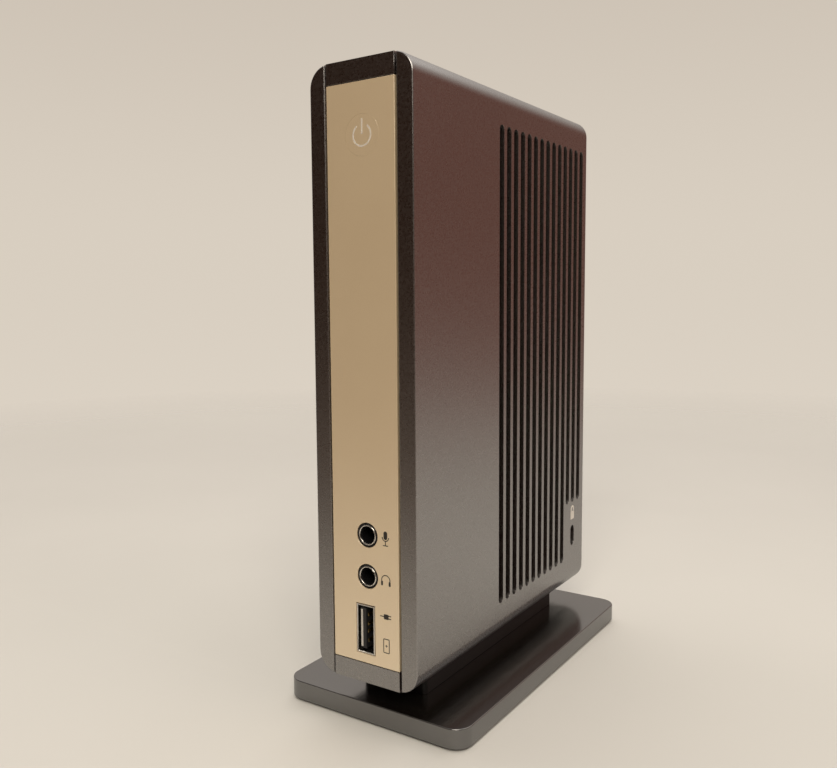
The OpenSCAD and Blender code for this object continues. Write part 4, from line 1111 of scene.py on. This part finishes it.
def add_passives():
    """Small resistors and capacitors scattered over the free parts of the main board."""
    count, border, room = 110, 3 * MM, 2.2 * MM
    long, wide, tall = 0.8 * MM, 0.42 * MM, 0.5 * MM
    end_place, end_half, end_swell = long * 0.82, long * 0.2, 1.04
    rng = random.Random(7)
    board_low, board_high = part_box("main_board")
    x = board_high.x
    taken = []
    for node in frame["nodes"]:
        low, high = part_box(node)
        on_board = low.x < x + 1 * MM and high.x > x + 0.1 * MM
        wraps_board = node in ("main_board", "left_cover", "centre_frame", "rear_panel")
        if body_of(node) == "dock" and on_board and not wraps_board:
            taken += islands(node)
    bodies, ends = bmesh.new(), bmesh.new()
    made = 0
    while made < count:
        y = rng.uniform(board_low.y + border, board_high.y - border)
        z = rng.uniform(board_low.z + border, board_high.z - border)
        upright = rng.random() < 0.5
        if any(a.y - room < y < b.y + room and a.z - room < z < b.z + room for a, b in taken):
            continue
        size_y, size_z = (wide, long) if upright else (long, wide)
        low, high = Vector((x, y - size_y, z - size_z)), Vector((x + tall, y + size_y, z + size_z))
        block(bodies, low, high, 0.06 * MM, 1)
        for side in (-1, 1):
            shift = side * end_place
            cy, cz = (y, z + shift) if upright else (y + shift, z)
            half_y, half_z = (wide * end_swell, end_half) if upright else (end_half, wide * end_swell)
            end_high = (x + tall * 1.06, cy + half_y, cz + half_z)
            block(ends, (x, cy - half_y, cz - half_z), end_high, 0.05 * MM, 1)
        taken.append((low, high))
        made += 1
    add_piece("passives", bodies, "dock", "chip_black")
    add_piece("passive_ends", ends, "dock", "port_steel")


def add_boards():
    """The two boards and what is soldered to them."""
    chips = ("video_chip", "hub_chip", "network_chip", "memory_chips", "network_transformer")
    for node in ("main_board", "front_board", *chips, "board_connector"):
        add_dressed(node, 0.12 * MM, steps=2)
    for node in ("power_coils", "crystals"):
        add_dressed(node, 0.4 * MM)
    add_dressed("thermal_pad", 0.1 * MM, steps=2)
    add_dressed("heat_sink", 0.18 * MM, steps=2)
    add_dressed("capacitors", 0.45 * MM, steps=4)
    for node in ("switch_housing", "power_lamp", "switch_plunger"):
        add_dressed(node, 0.15 * MM, steps=2)
    add_legs("memory_chips", True, 0.8 * MM)
    for across_y in (True, False):
        add_legs("hub_chip", across_y, 0.5 * MM)
        add_legs("network_chip", across_y, 0.5 * MM)
    add_passives()


def add_hidden_parts():
    add_dressed("lock_plate", 0.15 * MM)
    add_dressed("stand_weight", 0.25 * MM)
    add_dressed("stand_bottom_cover", 0.2 * MM)
    add_dressed("power_symbol", 0.03 * MM, steps=1)


# ---------------- making

bpy.context.scene.view_settings.view_transform = "Standard"
add_camera()
add_world()
add_floor(pale_paper("floor_paper"))
add_area_light(
    "overhead_softbox",
    place=(-0.05, 0.35, 0.95),
    target=(0, 0.05, 0),
    size=(1.0, 1.0),
    power=1.9,
    colour=(1.0, 0.96, 0.92),
)
add_area_light(
    "front_softbox",
    place=(0.42, -0.70, 0.78),
    target=(0, 0, 0.06),
    size=(0.6, 0.5),
    power=6.8,
    colour=(1.0, 0.90, 0.78),
)

add_case()
add_front_panel()
add_key()
add_microphone_sign()
add_headphones_sign()
add_plug_sign()
add_battery_sign()
add_padlock_sign()
add_stand()
add_audio_jack("mic_jack")
add_audio_jack("headphone_jack")
add_front_usb()
add_usb_stacks()
add_usb_b()
add_hdmi()
add_network_jack()
add_power_inlet()
add_vga()
add_rear_signs()
for screws, axis, head_height, shaft_radius in (
    ("rear_screws", (0, 1, 0), 1.4, 1.2),
    ("pedestal_screws", (0, 0, -1), 1.4, 1.2),
    ("stand_cover_screws", (0, 0, -1), 0.7, 1.0),
    ("main_board_screws", (1, 0, 0), 1.0, 1.0),
    ("front_board_screws", (1, 0, 0), 1.0, 1.0),
):
    add_screws(screws, axis, head_height * MM, shaft_radius * MM)
add_boards()
add_hidden_parts()

for node in frame["nodes"].values():
    node.data.materials[0] = FINISHES[node.data.materials[0].name]
